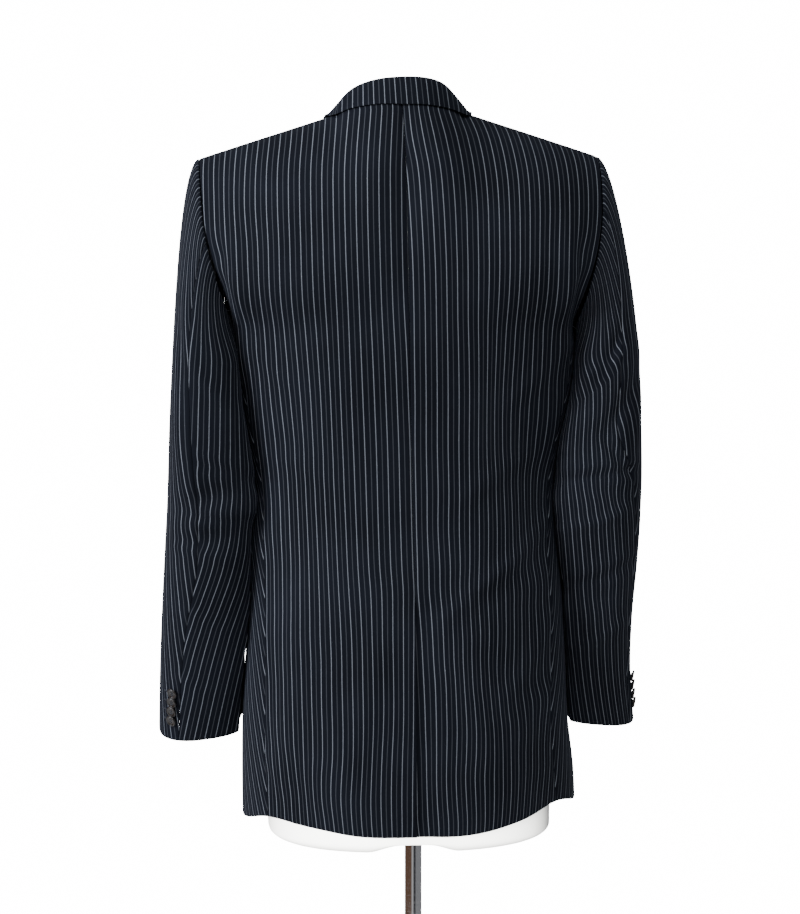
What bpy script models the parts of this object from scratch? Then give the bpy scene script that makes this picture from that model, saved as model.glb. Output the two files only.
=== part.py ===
"""Pinstripe suit jacket on a limbless dress form with a pole and a round base.

Metres, +Z up, floor at z = 0. The wearer faces +Y and their left side is -X, so the jacket's
back faces -Y. Every cloth piece is a thin wall lofted from the section tables below.
"""
import math
from collections import namedtuple

import bmesh
import bpy
import numpy as np

LEFT, RIGHT = -1, 1
SIDE_NAME = {LEFT: "left", RIGHT: "right"}

# ---------------------------------------------------------------- driving dimensions
WALL = 0.0018            # jacket cloth with its canvas
SEAM = 0.0003            # gap kept between two pieces
ARMPIT_Z = 1.260         # level where the armholes open
NECK_Z = 1.500           # neck seam at the centre back
FRONT_NECK_Z = 1.425     # base of the form's neck at the centre front
VENT_TOP_Z = 0.976
VENT_UNDERLAP = 0.038
FRONT_OVERLAP = 0.020    # each front passes the centre line by this much
BREAK_Z = 1.125          # where the lapel starts to turn
CUTAWAY = 0.085          # radius of the rounded front corners
ARMHOLE_SCOOP = 0.024    # depth of the underarm curve below ARMPIT_Z
SHOULDER_CROWN = 0.008   # rise of the padded shoulder
NECK_FADE = {"back": 7, "front": 12}          # how soon the neck's curve dies away below it
FULLNESS = {"back": 0.026, "front": 0.010}    # roundness below the shoulder seams
SHOULDER_TILT = 0.0022   # the right shoulder up and the left one down
SLEEVE_TOP_Z = 1.215     # level where the sleeve head begins
HEAD_FULLNESS = 0.26     # how round the sleeve head comes into the armhole

LOWER_ROWS, UPPER_ROWS = 15, 12
NECK_COLUMNS, SHOULDER_COLUMNS, SIDE_COLUMNS = 4, 8, 4
SLEEVE_ROWS, HEAD_ROWS = 13, 8
TOP_SLEEVE_COLUMNS, UNDER_SLEEVE_COLUMNS = 10, 9

# half widths of the body measured from the lean line, one row for each level
Ring = namedtuple("Ring", "z left right square")
RINGS = (
    Ring(0.690, 0.1875, 0.1900, 2.45),
    Ring(0.760, 0.1880, 0.1870, 2.45),
    Ring(0.820, 0.1870, 0.1800, 2.45),
    Ring(0.880, 0.1835, 0.1775, 2.45),
    Ring(0.950, 0.1795, 0.1755, 2.45),
    Ring(1.020, 0.1775, 0.1700, 2.45),
    Ring(1.075, 0.1710, 0.1670, 2.45),
    Ring(1.120, 0.1765, 0.1720, 2.50),
    Ring(1.180, 0.1840, 0.1850, 2.60),
    Ring(1.260, 0.1900, 0.1930, 2.70),
)

# the jacket's lean to its left, and how far the centre back and centre front stand from y = 0
Profile = namedtuple("Profile", "z lean back front")
PROFILES = (
    Profile(0.690, -0.0065, 0.1370, 0.1270),
    Profile(0.800, -0.0065, 0.1330, 0.1270),
    Profile(0.900, -0.0065, 0.1240, 0.1240),
    Profile(1.000, -0.0075, 0.1110, 0.1190),
    Profile(1.080, -0.0095, 0.1060, 0.1190),
    Profile(1.160, -0.0115, 0.1110, 0.1250),
    Profile(1.260, -0.0135, 0.1230, 0.1310),
    Profile(1.340, -0.0155, 0.1270, 0.1240),
    Profile(1.420, -0.0165, 0.1160, 0.0900),
    Profile(1.500, -0.0190, 0.0885, 0.0600),
)

# seams as arc lengths from the centre back, and the hem's height along the same arc
Seams = namedtuple("Seams", "z back_left back_right side_width")
SEAMS = (
    Seams(0.690, 0.1720, 0.1740, 0.115),
    Seams(0.800, 0.1760, 0.1660, 0.112),
    Seams(0.920, 0.1760, 0.1680, 0.105),
    Seams(1.000, 0.1760, 0.1660, 0.100),
    Seams(1.080, 0.1800, 0.1740, 0.092),
    Seams(1.170, 0.1980, 0.1960, 0.094),
    Seams(1.260, 0.2170, 0.2190, 0.098),
)
Hem = namedtuple("Hem", "along left right")
HEM = (
    Hem(0.00, 0.7100, 0.7100),
    Hem(0.06, 0.7110, 0.7110),
    Hem(0.12, 0.7190, 0.7220),
    Hem(0.17, 0.7235, 0.7350),
    Hem(0.22, 0.7130, 0.7270),
    Hem(0.27, 0.7060, 0.7180),
    Hem(0.34, 0.7000, 0.7060),
    Hem(0.48, 0.6960, 0.6960),
)

# armhole edge from the back underarm over the shoulder tip to the front underarm
Armhole = namedtuple("Armhole", "half y z")
ARMHOLE_BACK = (
    Armhole(0.1980, -0.0735, 1.2950),
    Armhole(0.2075, -0.0790, 1.3300),
    Armhole(0.2145, -0.0730, 1.3680),
    Armhole(0.2175, -0.0570, 1.4040),
    Armhole(0.2190, -0.0340, 1.4320),
)
SHOULDER_TIP = Armhole(0.2190, -0.0100, 1.4430)
ARMHOLE_FRONT = (
    Armhole(0.2165, 0.0150, 1.4360),
    Armhole(0.2080, 0.0400, 1.4080),
    Armhole(0.1960, 0.0570, 1.3700),
    Armhole(0.1870, 0.0640, 1.3300),
    Armhole(0.1845, 0.0600, 1.2920),
)
NECK_POINT = Armhole(0.0660, -0.0120, 1.4920)

# sleeve sections: outer half widths from the lean line, how far the inner side stands off the
# body's side, hind and fore edges in y
# press is how far the hind inner corner leans in towards the body
Sleeve = namedtuple("Sleeve", "z outer_left outer_right clear hind fore square press")
SLEEVES = (
    Sleeve(0.790, 0.2820, 0.2645, 0.0015, -0.020, 0.074, 2.2, 0.002),
    Sleeve(0.870, 0.2797, 0.2565, 0.0035, -0.038, 0.070, 2.3, 0.008),
    Sleeve(0.930, 0.2767, 0.2565, 0.0054, -0.053, 0.068, 2.4, 0.015),
    Sleeve(1.000, 0.2718, 0.2608, 0.0034, -0.068, 0.066, 2.5, 0.013),
    Sleeve(1.075, 0.2655, 0.2642, 0.0020, -0.079, 0.067, 2.6, 0.013),
    Sleeve(1.150, 0.2607, 0.2640, 0.0022, -0.083, 0.070, 2.6, 0.011),
    Sleeve(1.215, 0.2560, 0.2618, 0.0028, -0.085, 0.073, 2.7, 0.006),
)
# sleeve seams as fractions of the way round: 0 outside, 0.25 hind edge, 0.5 inside, 0.75 fore edge
SleeveSeam = namedtuple("SleeveSeam", "z hind_left hind_right fore")
SLEEVE_SEAMS = (
    SleeveSeam(0.800, 0.150, 0.120, 0.700),
    SleeveSeam(0.920, 0.185, 0.125, 0.690),
    SleeveSeam(1.010, 0.225, 0.130, 0.680),
    SleeveSeam(1.100, 0.200, 0.130, 0.680),
    SleeveSeam(1.215, 0.185, 0.140, 0.690),
)
HEAD_SEAM = {LEFT: 0.215, RIGHT: 0.215, "fore": 0.700}
# cuff edge: mean height, drop on the outside and drop at the hind edge
Cuff = namedtuple("Cuff", "z outside hind")
CUFFS = {LEFT: Cuff(0.8025, 0.003, 0.006), RIGHT: Cuff(0.8070, 0.003, 0.003)}

# main folds of the back and front: a soft ridge (or trough, where rise is negative) along a line
Fold = namedtuple("Fold", "face side half_top z_top half_low z_low width rise")
FOLDS = (
    Fold("back", LEFT, 0.186, 1.385, 0.176, 1.180, 0.011, 0.0050),
    Fold("back", LEFT, 0.203, 1.365, 0.187, 1.230, 0.009, -0.0040),
    Fold("back", RIGHT, 0.176, 1.395, 0.168, 1.190, 0.012, 0.0050),
    Fold("back", RIGHT, 0.194, 1.370, 0.182, 1.230, 0.010, -0.0040),
    Fold("back", LEFT, 0.120, 1.010, 0.150, 0.720, 0.016, 0.0030),
    Fold("back", RIGHT, 0.050, 0.940, 0.085, 0.740, 0.018, 0.0030),
)
# drag folds of the sleeves: centre round the sleeve and in height, slope, reach and depth
Crease = namedtuple("Crease", "side around z slope reach height depth")
CREASES = (
    Crease(LEFT, 0.27, 1.075, 0.10, 0.13, 0.016, -0.0050),
    Crease(LEFT, 0.30, 1.030, 0.06, 0.12, 0.014, -0.0045),
    Crease(LEFT, 0.16, 1.130, -0.60, 0.05, 0.050, 0.0035),
    Crease(RIGHT, 0.22, 1.165, -0.35, 0.10, 0.020, -0.0050),
    Crease(RIGHT, 0.27, 1.080, 0.10, 0.12, 0.016, -0.0050),
    Crease(RIGHT, 0.30, 0.960, 0.10, 0.12, 0.018, -0.0035),
)

# the form's clearance below the cloth's outer face
Ease = namedtuple("Ease", "z gap")
EASES = (
    Ease(0.690, 0.029), Ease(0.800, 0.025), Ease(0.900, 0.020), Ease(1.000, 0.015),
    Ease(1.080, 0.012), Ease(1.160, 0.013), Ease(1.260, 0.012),
)
REST_GAP = WALL + 0.0011     # the form carries the jacket along the shoulders
NECK_GAP = 0.0090            # and stays clear of the collar round the neck
FORM_HEM_Z, FORM_BOTTOM_Z = 0.695, 0.677
NECK_TOP_Z, NECK_RADIUS = 1.508, 0.052

# lapel outline in the front view: distance of its edge from the roll line
Lapel = namedtuple("Lapel", "z reach")
LAPEL = (
    Lapel(1.125, 0.001), Lapel(1.170, 0.021), Lapel(1.230, 0.045), Lapel(1.300, 0.065),
    Lapel(1.360, 0.077), Lapel(1.402, 0.083),
)
LAPEL_ROWS, LAPEL_COLUMNS = 12, 5
GORGE_DROP = 0.022       # the lapel's top edge falls this much from the roll line to its tip
LAPEL_ROLL = 0.0060      # how far the lapel stands off the chest beside its fold

# collar stations from the centre back to the gorge: roll line and outer edge
Collar = namedtuple("Collar", "roll_half roll_y roll_z edge_half edge_z face stand bulge")
COLLAR = (
    Collar(0.0000, -0.0845, 1.5232, 0.0000, 1.4945, "back", 0.0185, 0.0028),
    Collar(0.0190, -0.0825, 1.5227, 0.0240, 1.4942, "back", 0.0185, 0.0028),
    Collar(0.0370, -0.0740, 1.5192, 0.0470, 1.4915, "back", 0.0165, 0.0028),
    Collar(0.0500, -0.0590, 1.5122, 0.0625, 1.4880, "back", 0.0135, 0.0028),
    Collar(0.0585, -0.0380, 1.5050, 0.0720, 1.4855, "back", 0.0095, 0.0024),
    Collar(0.0612, -0.0270, 1.5010, 0.0765, 1.4850, "back", 0.0080, 0.0022),
    Collar(0.0630, -0.0150, 1.4970, 0.0805, 1.4825, "front", 0.0060, 0.0018),
    Collar(0.0645, 0.0080, 1.4860, 0.0870, 1.4690, "front", 0.0030, 0.0008),
    Collar(0.0610, 0.0290, 1.4690, 0.0955, 1.4535, "front", 0.0018, 0.0004),
    Collar(0.0565, 0.0450, 1.4500, 0.1045, 1.4385, "front", 0.0014, 0.0000),
    Collar(0.0520, 0.0600, 1.4290, 0.0990, 1.4140, "front", 0.0012, 0.0000),
)

# pocket flaps, buttons
FLAP_TOP_Z, FLAP_DROP, FLAP_LENGTH, FLAP_BACK_ARC = 0.9590, 0.050, 0.150, 0.262
FLAP_WALL = 0.0022
FRONT_BUTTON_RADIUS, CUFF_BUTTON_RADIUS = 0.0102, 0.0064
FRONT_BUTTON_HEIGHT, CUFF_BUTTON_HEIGHT = 0.0040, 0.0026
FRONT_BUTTON_Z = {"upper": 1.098, "lower": 0.990}
CUFF_BUTTON_Z = (0.0235, 0.0340, 0.0445, 0.0550)   # above the cuff edge
CUFF_BUTTON_INSET = 0.012                          # from the sleeve's hind seam
CUFF_BUTTON_TILT = math.radians(19)                # each one leans on the next one down

# stand
POLE_RADIUS = 0.0097
BASE_RADIUS, BASE_EDGE, BASE_DOME = 0.165, 0.006, 0.014
HUB_RADIUS, HUB_TOP_Z = 0.021, 0.052

Paint = namedtuple("Paint", "color roughness metallic")
CLOTH = Paint((0.017, 0.022, 0.037), 0.85, 0.0)
HORN = Paint((0.020, 0.018, 0.017), 0.35, 0.0)
FORM_WHITE = Paint((0.80, 0.80, 0.78), 0.45, 0.0)
CHROME = Paint((0.62, 0.62, 0.64), 0.15, 1.0)


# ---------------------------------------------------------------- small helpers
def track(rows, name, key="z"):
    """Smooth function through one named column of a table."""
    xs = np.array([getattr(row, key) for row in rows], float)
    ys = np.array([getattr(row, name) for row in rows], float)
    slopes = np.gradient(ys, xs)

    def value(at):
        at = np.clip(at, xs[0], xs[-1])
        i = np.clip(np.searchsorted(xs, at, side="right") - 1, 0, len(xs) - 2)
        step = xs[i + 1] - xs[i]
        f = (at - xs[i]) / step
        start = ys[i] * (1 + 2 * f) * (1 - f) ** 2 + slopes[i] * step * f * (1 - f) ** 2
        return start + ys[i + 1] * f * f * (3 - 2 * f) - slopes[i + 1] * step * f * f * (1 - f)
    return value


def smooth(f):
    """Ease from 0 to 1 with no slope at either end."""
    f = np.clip(f, 0.0, 1.0)
    return f * f * (3 - 2 * f)


def unit(vectors):
    return vectors / np.maximum(np.linalg.norm(vectors, axis=-1, keepdims=True), 1e-12)


def mix(a, b, f):
    return a + (b - a) * f


def spline(points, samples):
    """Catmull-Rom curve through points, sampled at equal arc lengths from 0 to 1."""
    points = np.asarray(points, float)
    chords = np.linalg.norm(np.diff(points, axis=0), axis=1)
    knots = np.concatenate([[0], np.cumsum(chords)])
    slopes = np.gradient(points, knots, axis=0)
    fine = np.linspace(0, knots[-1], 400)
    i = np.clip(np.searchsorted(knots, fine, side="right") - 1, 0, len(knots) - 2)
    step = (knots[i + 1] - knots[i])[:, None]
    f = ((fine - knots[i]) / step[:, 0])[:, None]
    curve = (points[i] * (1 + 2 * f) * (1 - f) ** 2 + slopes[i] * step * f * (1 - f) ** 2
             + points[i + 1] * f * f * (3 - 2 * f) - slopes[i + 1] * step * f * f * (1 - f))
    along = np.concatenate([[0], np.cumsum(np.linalg.norm(np.diff(curve, axis=0), axis=1))])
    along /= along[-1]
    return np.stack([np.interp(samples, along, curve[:, k]) for k in range(3)], axis=-1)


half_width = {LEFT: track(RINGS, "left"), RIGHT: track(RINGS, "right")}
squareness = track(RINGS, "square")
lean, back_depth, front_depth = (track(PROFILES, name) for name in ("lean", "back", "front"))
back_seam = {LEFT: track(SEAMS, "back_left"), RIGHT: track(SEAMS, "back_right")}
side_width = track(SEAMS, "side_width")
hem_height = {LEFT: track(HEM, "left", "along"), RIGHT: track(HEM, "right", "along")}
ease = track(EASES, "gap")


# ---------------------------------------------------------------- torso surface
def squared_ring(turn, half, back, front, square):
    """Rounded-square outline; turn runs 0 centre back, 1 side, 2 centre front."""
    q = np.where(turn < 1, turn, 2 - turn)
    e = square / 2
    g = q ** e / (q ** e + (1 - q) ** e) * math.pi / 2
    x = half * np.sin(g) ** (1 / e)
    y = np.where(turn < 1, -back, front) * np.maximum(np.cos(g), 0) ** (1 / e)
    return x, y


def half_ring(side, z, count=97):
    """Points of the half outline at each z, with their arc lengths from the centre back."""
    z = np.asarray(z, float)[..., None]
    turn = np.linspace(0, 2, count)
    x, y = squared_ring(turn, half_width[side](z), back_depth(z), front_depth(z), squareness(z))
    steps = np.hypot(np.diff(x), np.diff(y))
    arc = np.concatenate([np.zeros(steps.shape[:-1] + (1,)), np.cumsum(steps, axis=-1)], axis=-1)
    return x, y, arc


def girth(side, z):
    return half_ring(side, z)[2][..., -1]


def ring(side, arc, z):
    """Torso point at an arc length from the centre back; it may run on past either centre."""
    arc, z = np.broadcast_arrays(np.asarray(arc, float), np.asarray(z, float))
    result = np.empty(arc.shape + (3,))
    whole, other = girth(side, z), girth(-side, z)
    across_back, across_front = arc < 0, arc > whole
    across = across_back | across_front
    folded = np.where(across_back, -arc, np.where(across_front, other + whole - arc, arc))
    for own, chosen in ((side, ~across), (-side, across)):
        if not chosen.any():
            continue
        x, y, arcs = half_ring(own, z[chosen])
        at = folded[chosen]
        i = np.clip((arcs < at[:, None]).sum(axis=1) - 1, 0, arcs.shape[1] - 2)
        row = np.arange(len(i))
        f = (at - arcs[row, i]) / (arcs[row, i + 1] - arcs[row, i])
        result[chosen, 0] = own * mix(x[row, i], x[row, i + 1], f)
        result[chosen, 1] = mix(y[row, i], y[row, i + 1], f)
    result[..., 0] += lean(z)
    result[..., 2] = z
    return result


def arc_at_half(side, half, z, face):
    """Arc length where the ring at z stands a given distance from the lean line."""
    x, y, arc = half_ring(side, z)
    middle = x.shape[-1] // 2
    if face == "back":
        return float(np.interp(half, x[:middle + 1], arc[:middle + 1]))
    return float(np.interp(-half, -x[middle:], arc[middle:]))


def placed(row, side):
    """World point of an armhole or neck row on one side; the right shoulder sits higher."""
    tilt = side * SHOULDER_TILT * smooth((row.z - 1.30) / 0.12)
    return np.array([lean(row.z) + side * row.half, row.y, row.z + tilt])


def armhole_corners(side):
    """Back and front ends of the side body's scooped top edge."""
    back = float(back_seam[side](ARMPIT_Z))
    return back, back + float(side_width(ARMPIT_Z))


def armhole_edge(side, face, w):
    """Armhole edge of the back or front, w from the underarm (0) to the shoulder tip (1)."""
    arcs = armhole_corners(side)
    ends = [ring(side, arc, ARMPIT_Z) for arc in arcs]
    tip = placed(SHOULDER_TIP, side)
    back = [ends[0]] + [placed(row, side) for row in ARMHOLE_BACK]
    front = [placed(row, side) for row in ARMHOLE_FRONT] + [ends[1]]
    points = np.array(back + [tip] + front)
    knots = np.concatenate([[0], np.cumsum(np.linalg.norm(np.diff(points, axis=0), axis=1))])
    share = knots[len(back)] / knots[-1]
    w = np.asarray(w, float)
    return spline(points, w * share if face == "back" else 1 - w * (1 - share))


def neck_columns(face):
    """Column fractions of a patch's top edge: the neck first, then the shoulder seam."""
    return NECK_COLUMNS / (NECK_COLUMNS + SHOULDER_COLUMNS)


def soft_top(side, face, u):
    """The top edge with its corner at the neck point rounded away, for the cloth below it."""
    u = np.asarray(u, float)
    total = np.zeros(u.shape + (3,))
    step = top_edge(side, face, 1.0) - top_edge(side, face, 0.9)
    shifts = np.linspace(-0.30, 0.30, 13)
    weights = np.cos(shifts / 0.30 * math.pi / 2) ** 2
    for shift, weight in zip(shifts, weights / weights.sum()):
        at = u + shift
        point = top_edge(side, face, np.clip(np.abs(at), 0, 1))
        mirrored = 2 * lean(point[..., 2]) - point[..., 0]
        point[..., 0] = np.where(at < 0, mirrored, point[..., 0])
        past = np.maximum(at - 1, 0)[..., None]
        total += weight * (point + past * step * 10)
    return total


def top_edge(side, face, u):
    """Neck curve then shoulder seam, u from the centre line (0) to the shoulder tip (1)."""
    u = np.asarray(u, float)
    turn = neck_columns(face)
    neck, tip = placed(NECK_POINT, side), placed(SHOULDER_TIP, side)
    z_mid = NECK_Z if face == "back" else FRONT_NECK_Z
    y_mid = -back_depth(NECK_Z) if face == "back" else front_depth(FRONT_NECK_Z)
    centre = np.array([lean(z_mid), y_mid, z_mid])
    f = np.clip(u / turn, 0, 1)[..., None]
    angle = f * math.pi / 2
    round_neck = np.concatenate([
        centre[0] + (neck[0] - centre[0]) * np.sin(angle),
        neck[1] + (centre[1] - neck[1]) * np.cos(angle),
        mix(centre[2], neck[2], smooth(f))], axis=-1)
    along = np.clip((u - turn) / (1 - turn), 0, 1)[..., None]
    shoulder = mix(neck, tip, along)
    return np.where(u[..., None] < turn, round_neck, shoulder)


def upper(side, face, u, w):
    """Patch above the armpit: u from the centre line to the armhole, w up to neck and shoulder."""
    u, w = np.broadcast_arrays(np.asarray(u, float), np.asarray(w, float))
    arcs = armhole_corners(side)
    if face == "back":
        bottom = ring(side, u * arcs[0], ARMPIT_Z)
        z_mid, depth, sign = NECK_Z, back_depth, -1
    else:
        whole = girth(side, ARMPIT_Z)
        bottom = ring(side, whole - u * (whole - arcs[1]), ARMPIT_Z)
        z_mid, depth, sign = FRONT_NECK_Z, front_depth, 1
    z = mix(ARMPIT_Z, z_mid, w)
    centre = np.stack([lean(z), sign * depth(z), z], axis=-1)
    edge = armhole_edge(side, face, w)
    sharp = top_edge(side, face, u)
    blend = smooth(w)[..., None]
    uu = u[..., None]
    low_centre = ring(side, 0.0 if face == "back" else girth(side, ARMPIT_Z), ARMPIT_Z)
    low_edge = armhole_edge(side, face, 0.0)
    high_centre, high_edge = top_edge(side, face, 0.0), top_edge(side, face, 1.0)
    top = soft_top(side, face, u)
    top = top + mix(high_centre - soft_top(side, face, 0.0), high_edge - soft_top(side, face, 1.0), uu)
    corners = mix(mix(low_centre, high_centre, blend), mix(low_edge, high_edge, blend), uu)
    points = mix(centre, edge, uu) + mix(bottom, top, blend) - corners
    points = points + (sharp - top) * (w ** NECK_FADE[face])[..., None]
    pad = SHOULDER_CROWN * np.sin(math.pi * np.clip((u - 0.35) / 0.65, 0, 1)) * w * w * (1 - w) * 4
    round_off = np.sin(math.pi * u) * (1 + 0.35 * np.cos(math.pi * u))
    full = FULLNESS[face] * round_off * 4 * w * w * np.maximum(1 - w, 0) ** 0.6
    points[..., 2] += pad
    points[..., 1] += sign * (0.6 * pad + full)
    return points


def fold_rise(face, points):
    """Outward displacement of the named folds at points of one face."""
    total = np.zeros(points.shape[:-1])
    across = points[..., 0] - lean(points[..., 2])
    z = points[..., 2]
    for fold in FOLDS:
        if fold.face != face:
            continue
        f = (fold.z_top - z) / (fold.z_top - fold.z_low)
        line = fold.side * mix(fold.half_top, fold.half_low, f)
        fade = smooth(f / 0.25) * smooth((1 - f) / 0.25)
        total += fold.rise * fade * np.exp(-((across - line) / fold.width) ** 2)
    return total


def vent_lap(side, arc, z):
    """How far a right-hand edge dives under the left: back vent, then front overlap."""
    if side == LEFT:
        return np.zeros(np.broadcast(arc, z).shape)
    step = WALL + 3.5 * SEAM
    vent = smooth((VENT_TOP_Z - z) / 0.030) * smooth((0.034 - arc) / 0.026)
    to_front = girth(side, z) - arc
    front = smooth((0.050 - to_front) / 0.026) * smooth((1.245 - z) / 0.03)
    return step * (vent + front)


def lower_surface(side, arc, z):
    """Torso point below the armpit with its folds and laps, and its outward normal."""
    arc, z = np.broadcast_arrays(np.asarray(arc, float), np.asarray(z, float))
    small = 0.002
    point = ring(side, arc, z)
    across = ring(side, arc + small, z) - ring(side, arc - small, z)
    upward = ring(side, arc, z + small) - ring(side, arc, z - small)
    centre = np.abs(arc) < 2 * small
    normal = np.cross(across, upward) * side
    normal[centre, 0] = 0
    normal = unit(normal)
    face_back = point[..., 1] < 0
    rise = np.where(face_back, fold_rise("back", point), fold_rise("front", point))
    rise = rise * smooth(np.abs(point[..., 1]) / 0.03)
    point = point + normal * (rise - vent_lap(side, arc, z))[..., None]
    return point, normal


def upper_surface(side, face, u, w):
    """Torso point above the armpit with its folds, and its outward normal."""
    u, w = np.broadcast_arrays(np.asarray(u, float), np.asarray(w, float))
    small = 0.004
    point = upper(side, face, u, w)
    across = upper(side, face, np.minimum(u + small, 1), w) - upper(side, face, np.maximum(u - small, 0), w)
    upward = upper(side, face, u, np.minimum(w + small, 1)) - upper(side, face, u, np.maximum(w - small, 0))
    normal = np.cross(across, upward) * side * (1 if face == "back" else -1)
    normal[u < small, 0] = 0
    normal = unit(normal)
    ridge = unit(placed(SHOULDER_TIP, side) - placed(NECK_POINT, side))
    over = unit(np.array([0, 0, 1.0]) - ridge[2] * ridge)
    on_ridge = smooth((w - 0.80) / 0.20) * smooth((u - neck_columns(face) + 0.08) / 0.08)
    normal = unit(mix(normal, over, on_ridge[..., None]))
    return point + normal * fold_rise(face, point)[..., None], normal


# ---------------------------------------------------------------- meshes
def paint(name, finish):
    material = bpy.data.materials.get(name) or bpy.data.materials.new(name)
    material.use_nodes = True
    shader = material.node_tree.nodes["Principled BSDF"]
    shader.inputs["Base Color"].default_value = (*finish.color, 1)
    shader.inputs["Roughness"].default_value = finish.roughness
    shader.inputs["Metallic"].default_value = finish.metallic
    return material


def add_mesh(name, vertices, faces, finish, merge=0.0):
    """One closed body as a named object with faces pointing out."""
    mesh = bpy.data.meshes.new(name)
    mesh.from_pydata([tuple(v) for v in vertices], [], faces)
    work = bmesh.new()
    work.from_mesh(mesh)
    if merge:
        bmesh.ops.remove_doubles(work, verts=work.verts, dist=merge)
        bmesh.ops.dissolve_degenerate(work, edges=work.edges, dist=merge / 4)
    bmesh.ops.recalc_face_normals(work, faces=work.faces)
    work.to_mesh(mesh)
    work.free()
    mesh.shade_smooth()
    mesh.set_sharp_from_angle(angle=math.radians(50))
    thing = bpy.data.objects.new(name, mesh)
    bpy.context.collection.objects.link(thing)
    mesh.materials.append(paint(name, finish))
    return thing


def wall(name, outer, inner, finish=CLOTH, keep=None):
    """Closed wall between two grids of points; keep masks the cells that exist."""
    rows, columns = outer.shape[:2]
    if keep is None:
        keep = np.ones((rows - 1, columns - 1), bool)
    count = rows * columns
    number = np.arange(count).reshape(rows, columns)
    faces, edges = [], {}
    for i in range(rows - 1):
        for j in range(columns - 1):
            if not keep[i, j]:
                continue
            loop = [number[i, j], number[i, j + 1], number[i + 1, j + 1], number[i + 1, j]]
            faces.append([int(v) for v in loop])
            faces.append([int(v) + count for v in reversed(loop)])
            for a, b in zip(loop, loop[1:] + loop[:1]):
                edges[(a, b)] = edges.get((a, b), 0) + 1
    for a, b in edges:
        if (b, a) not in edges:
            faces.append([int(b), int(a), int(a) + count, int(b) + count])
    vertices = np.concatenate([outer.reshape(-1, 3), inner.reshape(-1, 3)])
    used = sorted({v for face in faces for v in face})
    index = {v: k for k, v in enumerate(used)}
    return add_mesh(name, vertices[used], [[index[v] for v in face] for face in faces], finish)


def turned(name, profile, centre, axis, finish, segments):
    """Solid of revolution: profile rows are (radius, height) from the underside to the top."""
    axis = unit(np.asarray(axis, float))
    other = np.array([0, 0, 1.0]) if abs(axis[2]) < 0.9 else np.array([0, 1.0, 0])
    first = unit(np.cross(other, axis))
    second = np.cross(axis, first)
    vertices, faces = [], []
    for radius, height in profile:
        for k in range(segments):
            angle = 2 * math.pi * k / segments
            spoke = math.cos(angle) * first + math.sin(angle) * second
            vertices.append(centre + axis * height + spoke * radius)
    for i in range(len(profile) - 1):
        for k in range(segments):
            n = (k + 1) % segments
            faces.append([i * segments + k, i * segments + n,
                          (i + 1) * segments + n, (i + 1) * segments + k])
    last = (len(profile) - 1) * segments
    faces.append(list(reversed(range(segments))))
    faces.append(list(range(last, last + segments)))
    return add_mesh(name, vertices, faces, finish)


# ---------------------------------------------------------------- body panels
def column_rows(side, arcs, tops):
    """Heights of the lower rows: each column runs from its hem up to its own top."""
    hems = hem_height[side](arcs)
    share = np.linspace(0, 1, LOWER_ROWS + 1)[:, None]
    return mix(hems, tops, share)


def panel_grid(side, lower, face=None, us=None):
    """Outer and inner points of a panel from its lower arcs and its upper patch columns."""
    arcs, zs = lower
    point, normal = lower_surface(side, arcs, zs)
    outer, inner = [point], [point - normal * WALL]
    if face:
        w = np.linspace(0, 1, UPPER_ROWS + 1)[1:, None]
        point, normal = upper_surface(side, face, us, w)
        along = unit(point[-1] - point[-2])
        point[-1] -= along * SEAM
        outer.append(point)
        inner.append(point - normal * WALL)
    return np.concatenate(outer), np.concatenate(inner)


def build_back(side):
    columns = np.linspace(0, 1, NECK_COLUMNS + SHOULDER_COLUMNS + 1)
    z_share = column_rows(side, columns * back_seam[side](0.72), np.full(columns.shape, ARMPIT_Z))
    widths = back_seam[side](z_share)
    arcs = columns * (widths - 1.5 * SEAM) + 0.75 * SEAM
    us = np.broadcast_to(mix(0.75 * SEAM / 0.21, 1.0, columns), (UPPER_ROWS, len(columns)))
    keep = None
    if side == RIGHT:
        under = np.array([-VENT_UNDERLAP, -VENT_UNDERLAP / 2])
        arcs = np.concatenate([np.broadcast_to(under, (LOWER_ROWS + 1, 2)), arcs], axis=1)
        z_share = np.concatenate([z_share[:, :1], z_share[:, :1], z_share], axis=1)
        us = np.concatenate([np.zeros((UPPER_ROWS, 2)), us], axis=1)
        keep = np.ones((LOWER_ROWS + UPPER_ROWS, arcs.shape[1] - 1), bool)
        high = np.concatenate([z_share[1:, 0] > VENT_TOP_Z - 0.030, np.ones(UPPER_ROWS, bool)])
        keep[high, :2] = False
    outer, inner = panel_grid(side, (arcs, z_share), "back", us)
    wall("back_" + SIDE_NAME[side], outer, inner, keep=keep)


def build_side(side):
    columns = np.linspace(0, 1, SIDE_COLUMNS + 1)
    tops = ARMPIT_Z - ARMHOLE_SCOOP * np.sin(math.pi * columns) ** 0.8
    starts = back_seam[side](0.72)
    zs = column_rows(side, starts + columns * side_width(0.72), tops)
    arcs = back_seam[side](zs) + 0.75 * SEAM + columns * (side_width(zs) - 1.5 * SEAM)
    outer, inner = panel_grid(side, (arcs, zs))
    wall("side_" + SIDE_NAME[side], outer, inner)


def roll_half(side, z):
    """Signed distance of the roll line from the lean line; negative past the centre."""
    f = (z - BREAK_Z) / (NECK_POINT.z - BREAK_Z)
    return mix(-FRONT_OVERLAP, NECK_POINT.half, np.clip(f, 0, 1))


def front_edge_arc(side, z):
    """Arc length of the front's free edge: the overlap, then the roll line."""
    z = np.asarray(z, float)
    return girth(side, z) - roll_half(side, z)


def roll_u(side, w):
    """Column fraction of the front patch where the roll line crosses each row."""
    low, high = np.zeros_like(w), np.full_like(w, neck_columns("front"))
    for _ in range(24):
        middle = (low + high) / 2
        point = upper(side, "front", middle, w)
        reached = side * (point[..., 0] - lean(point[..., 2])) > roll_half(side, point[..., 2])
        high = np.where(reached, middle, high)
        low = np.where(reached, low, middle)
    return (low + high) / 2


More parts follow.
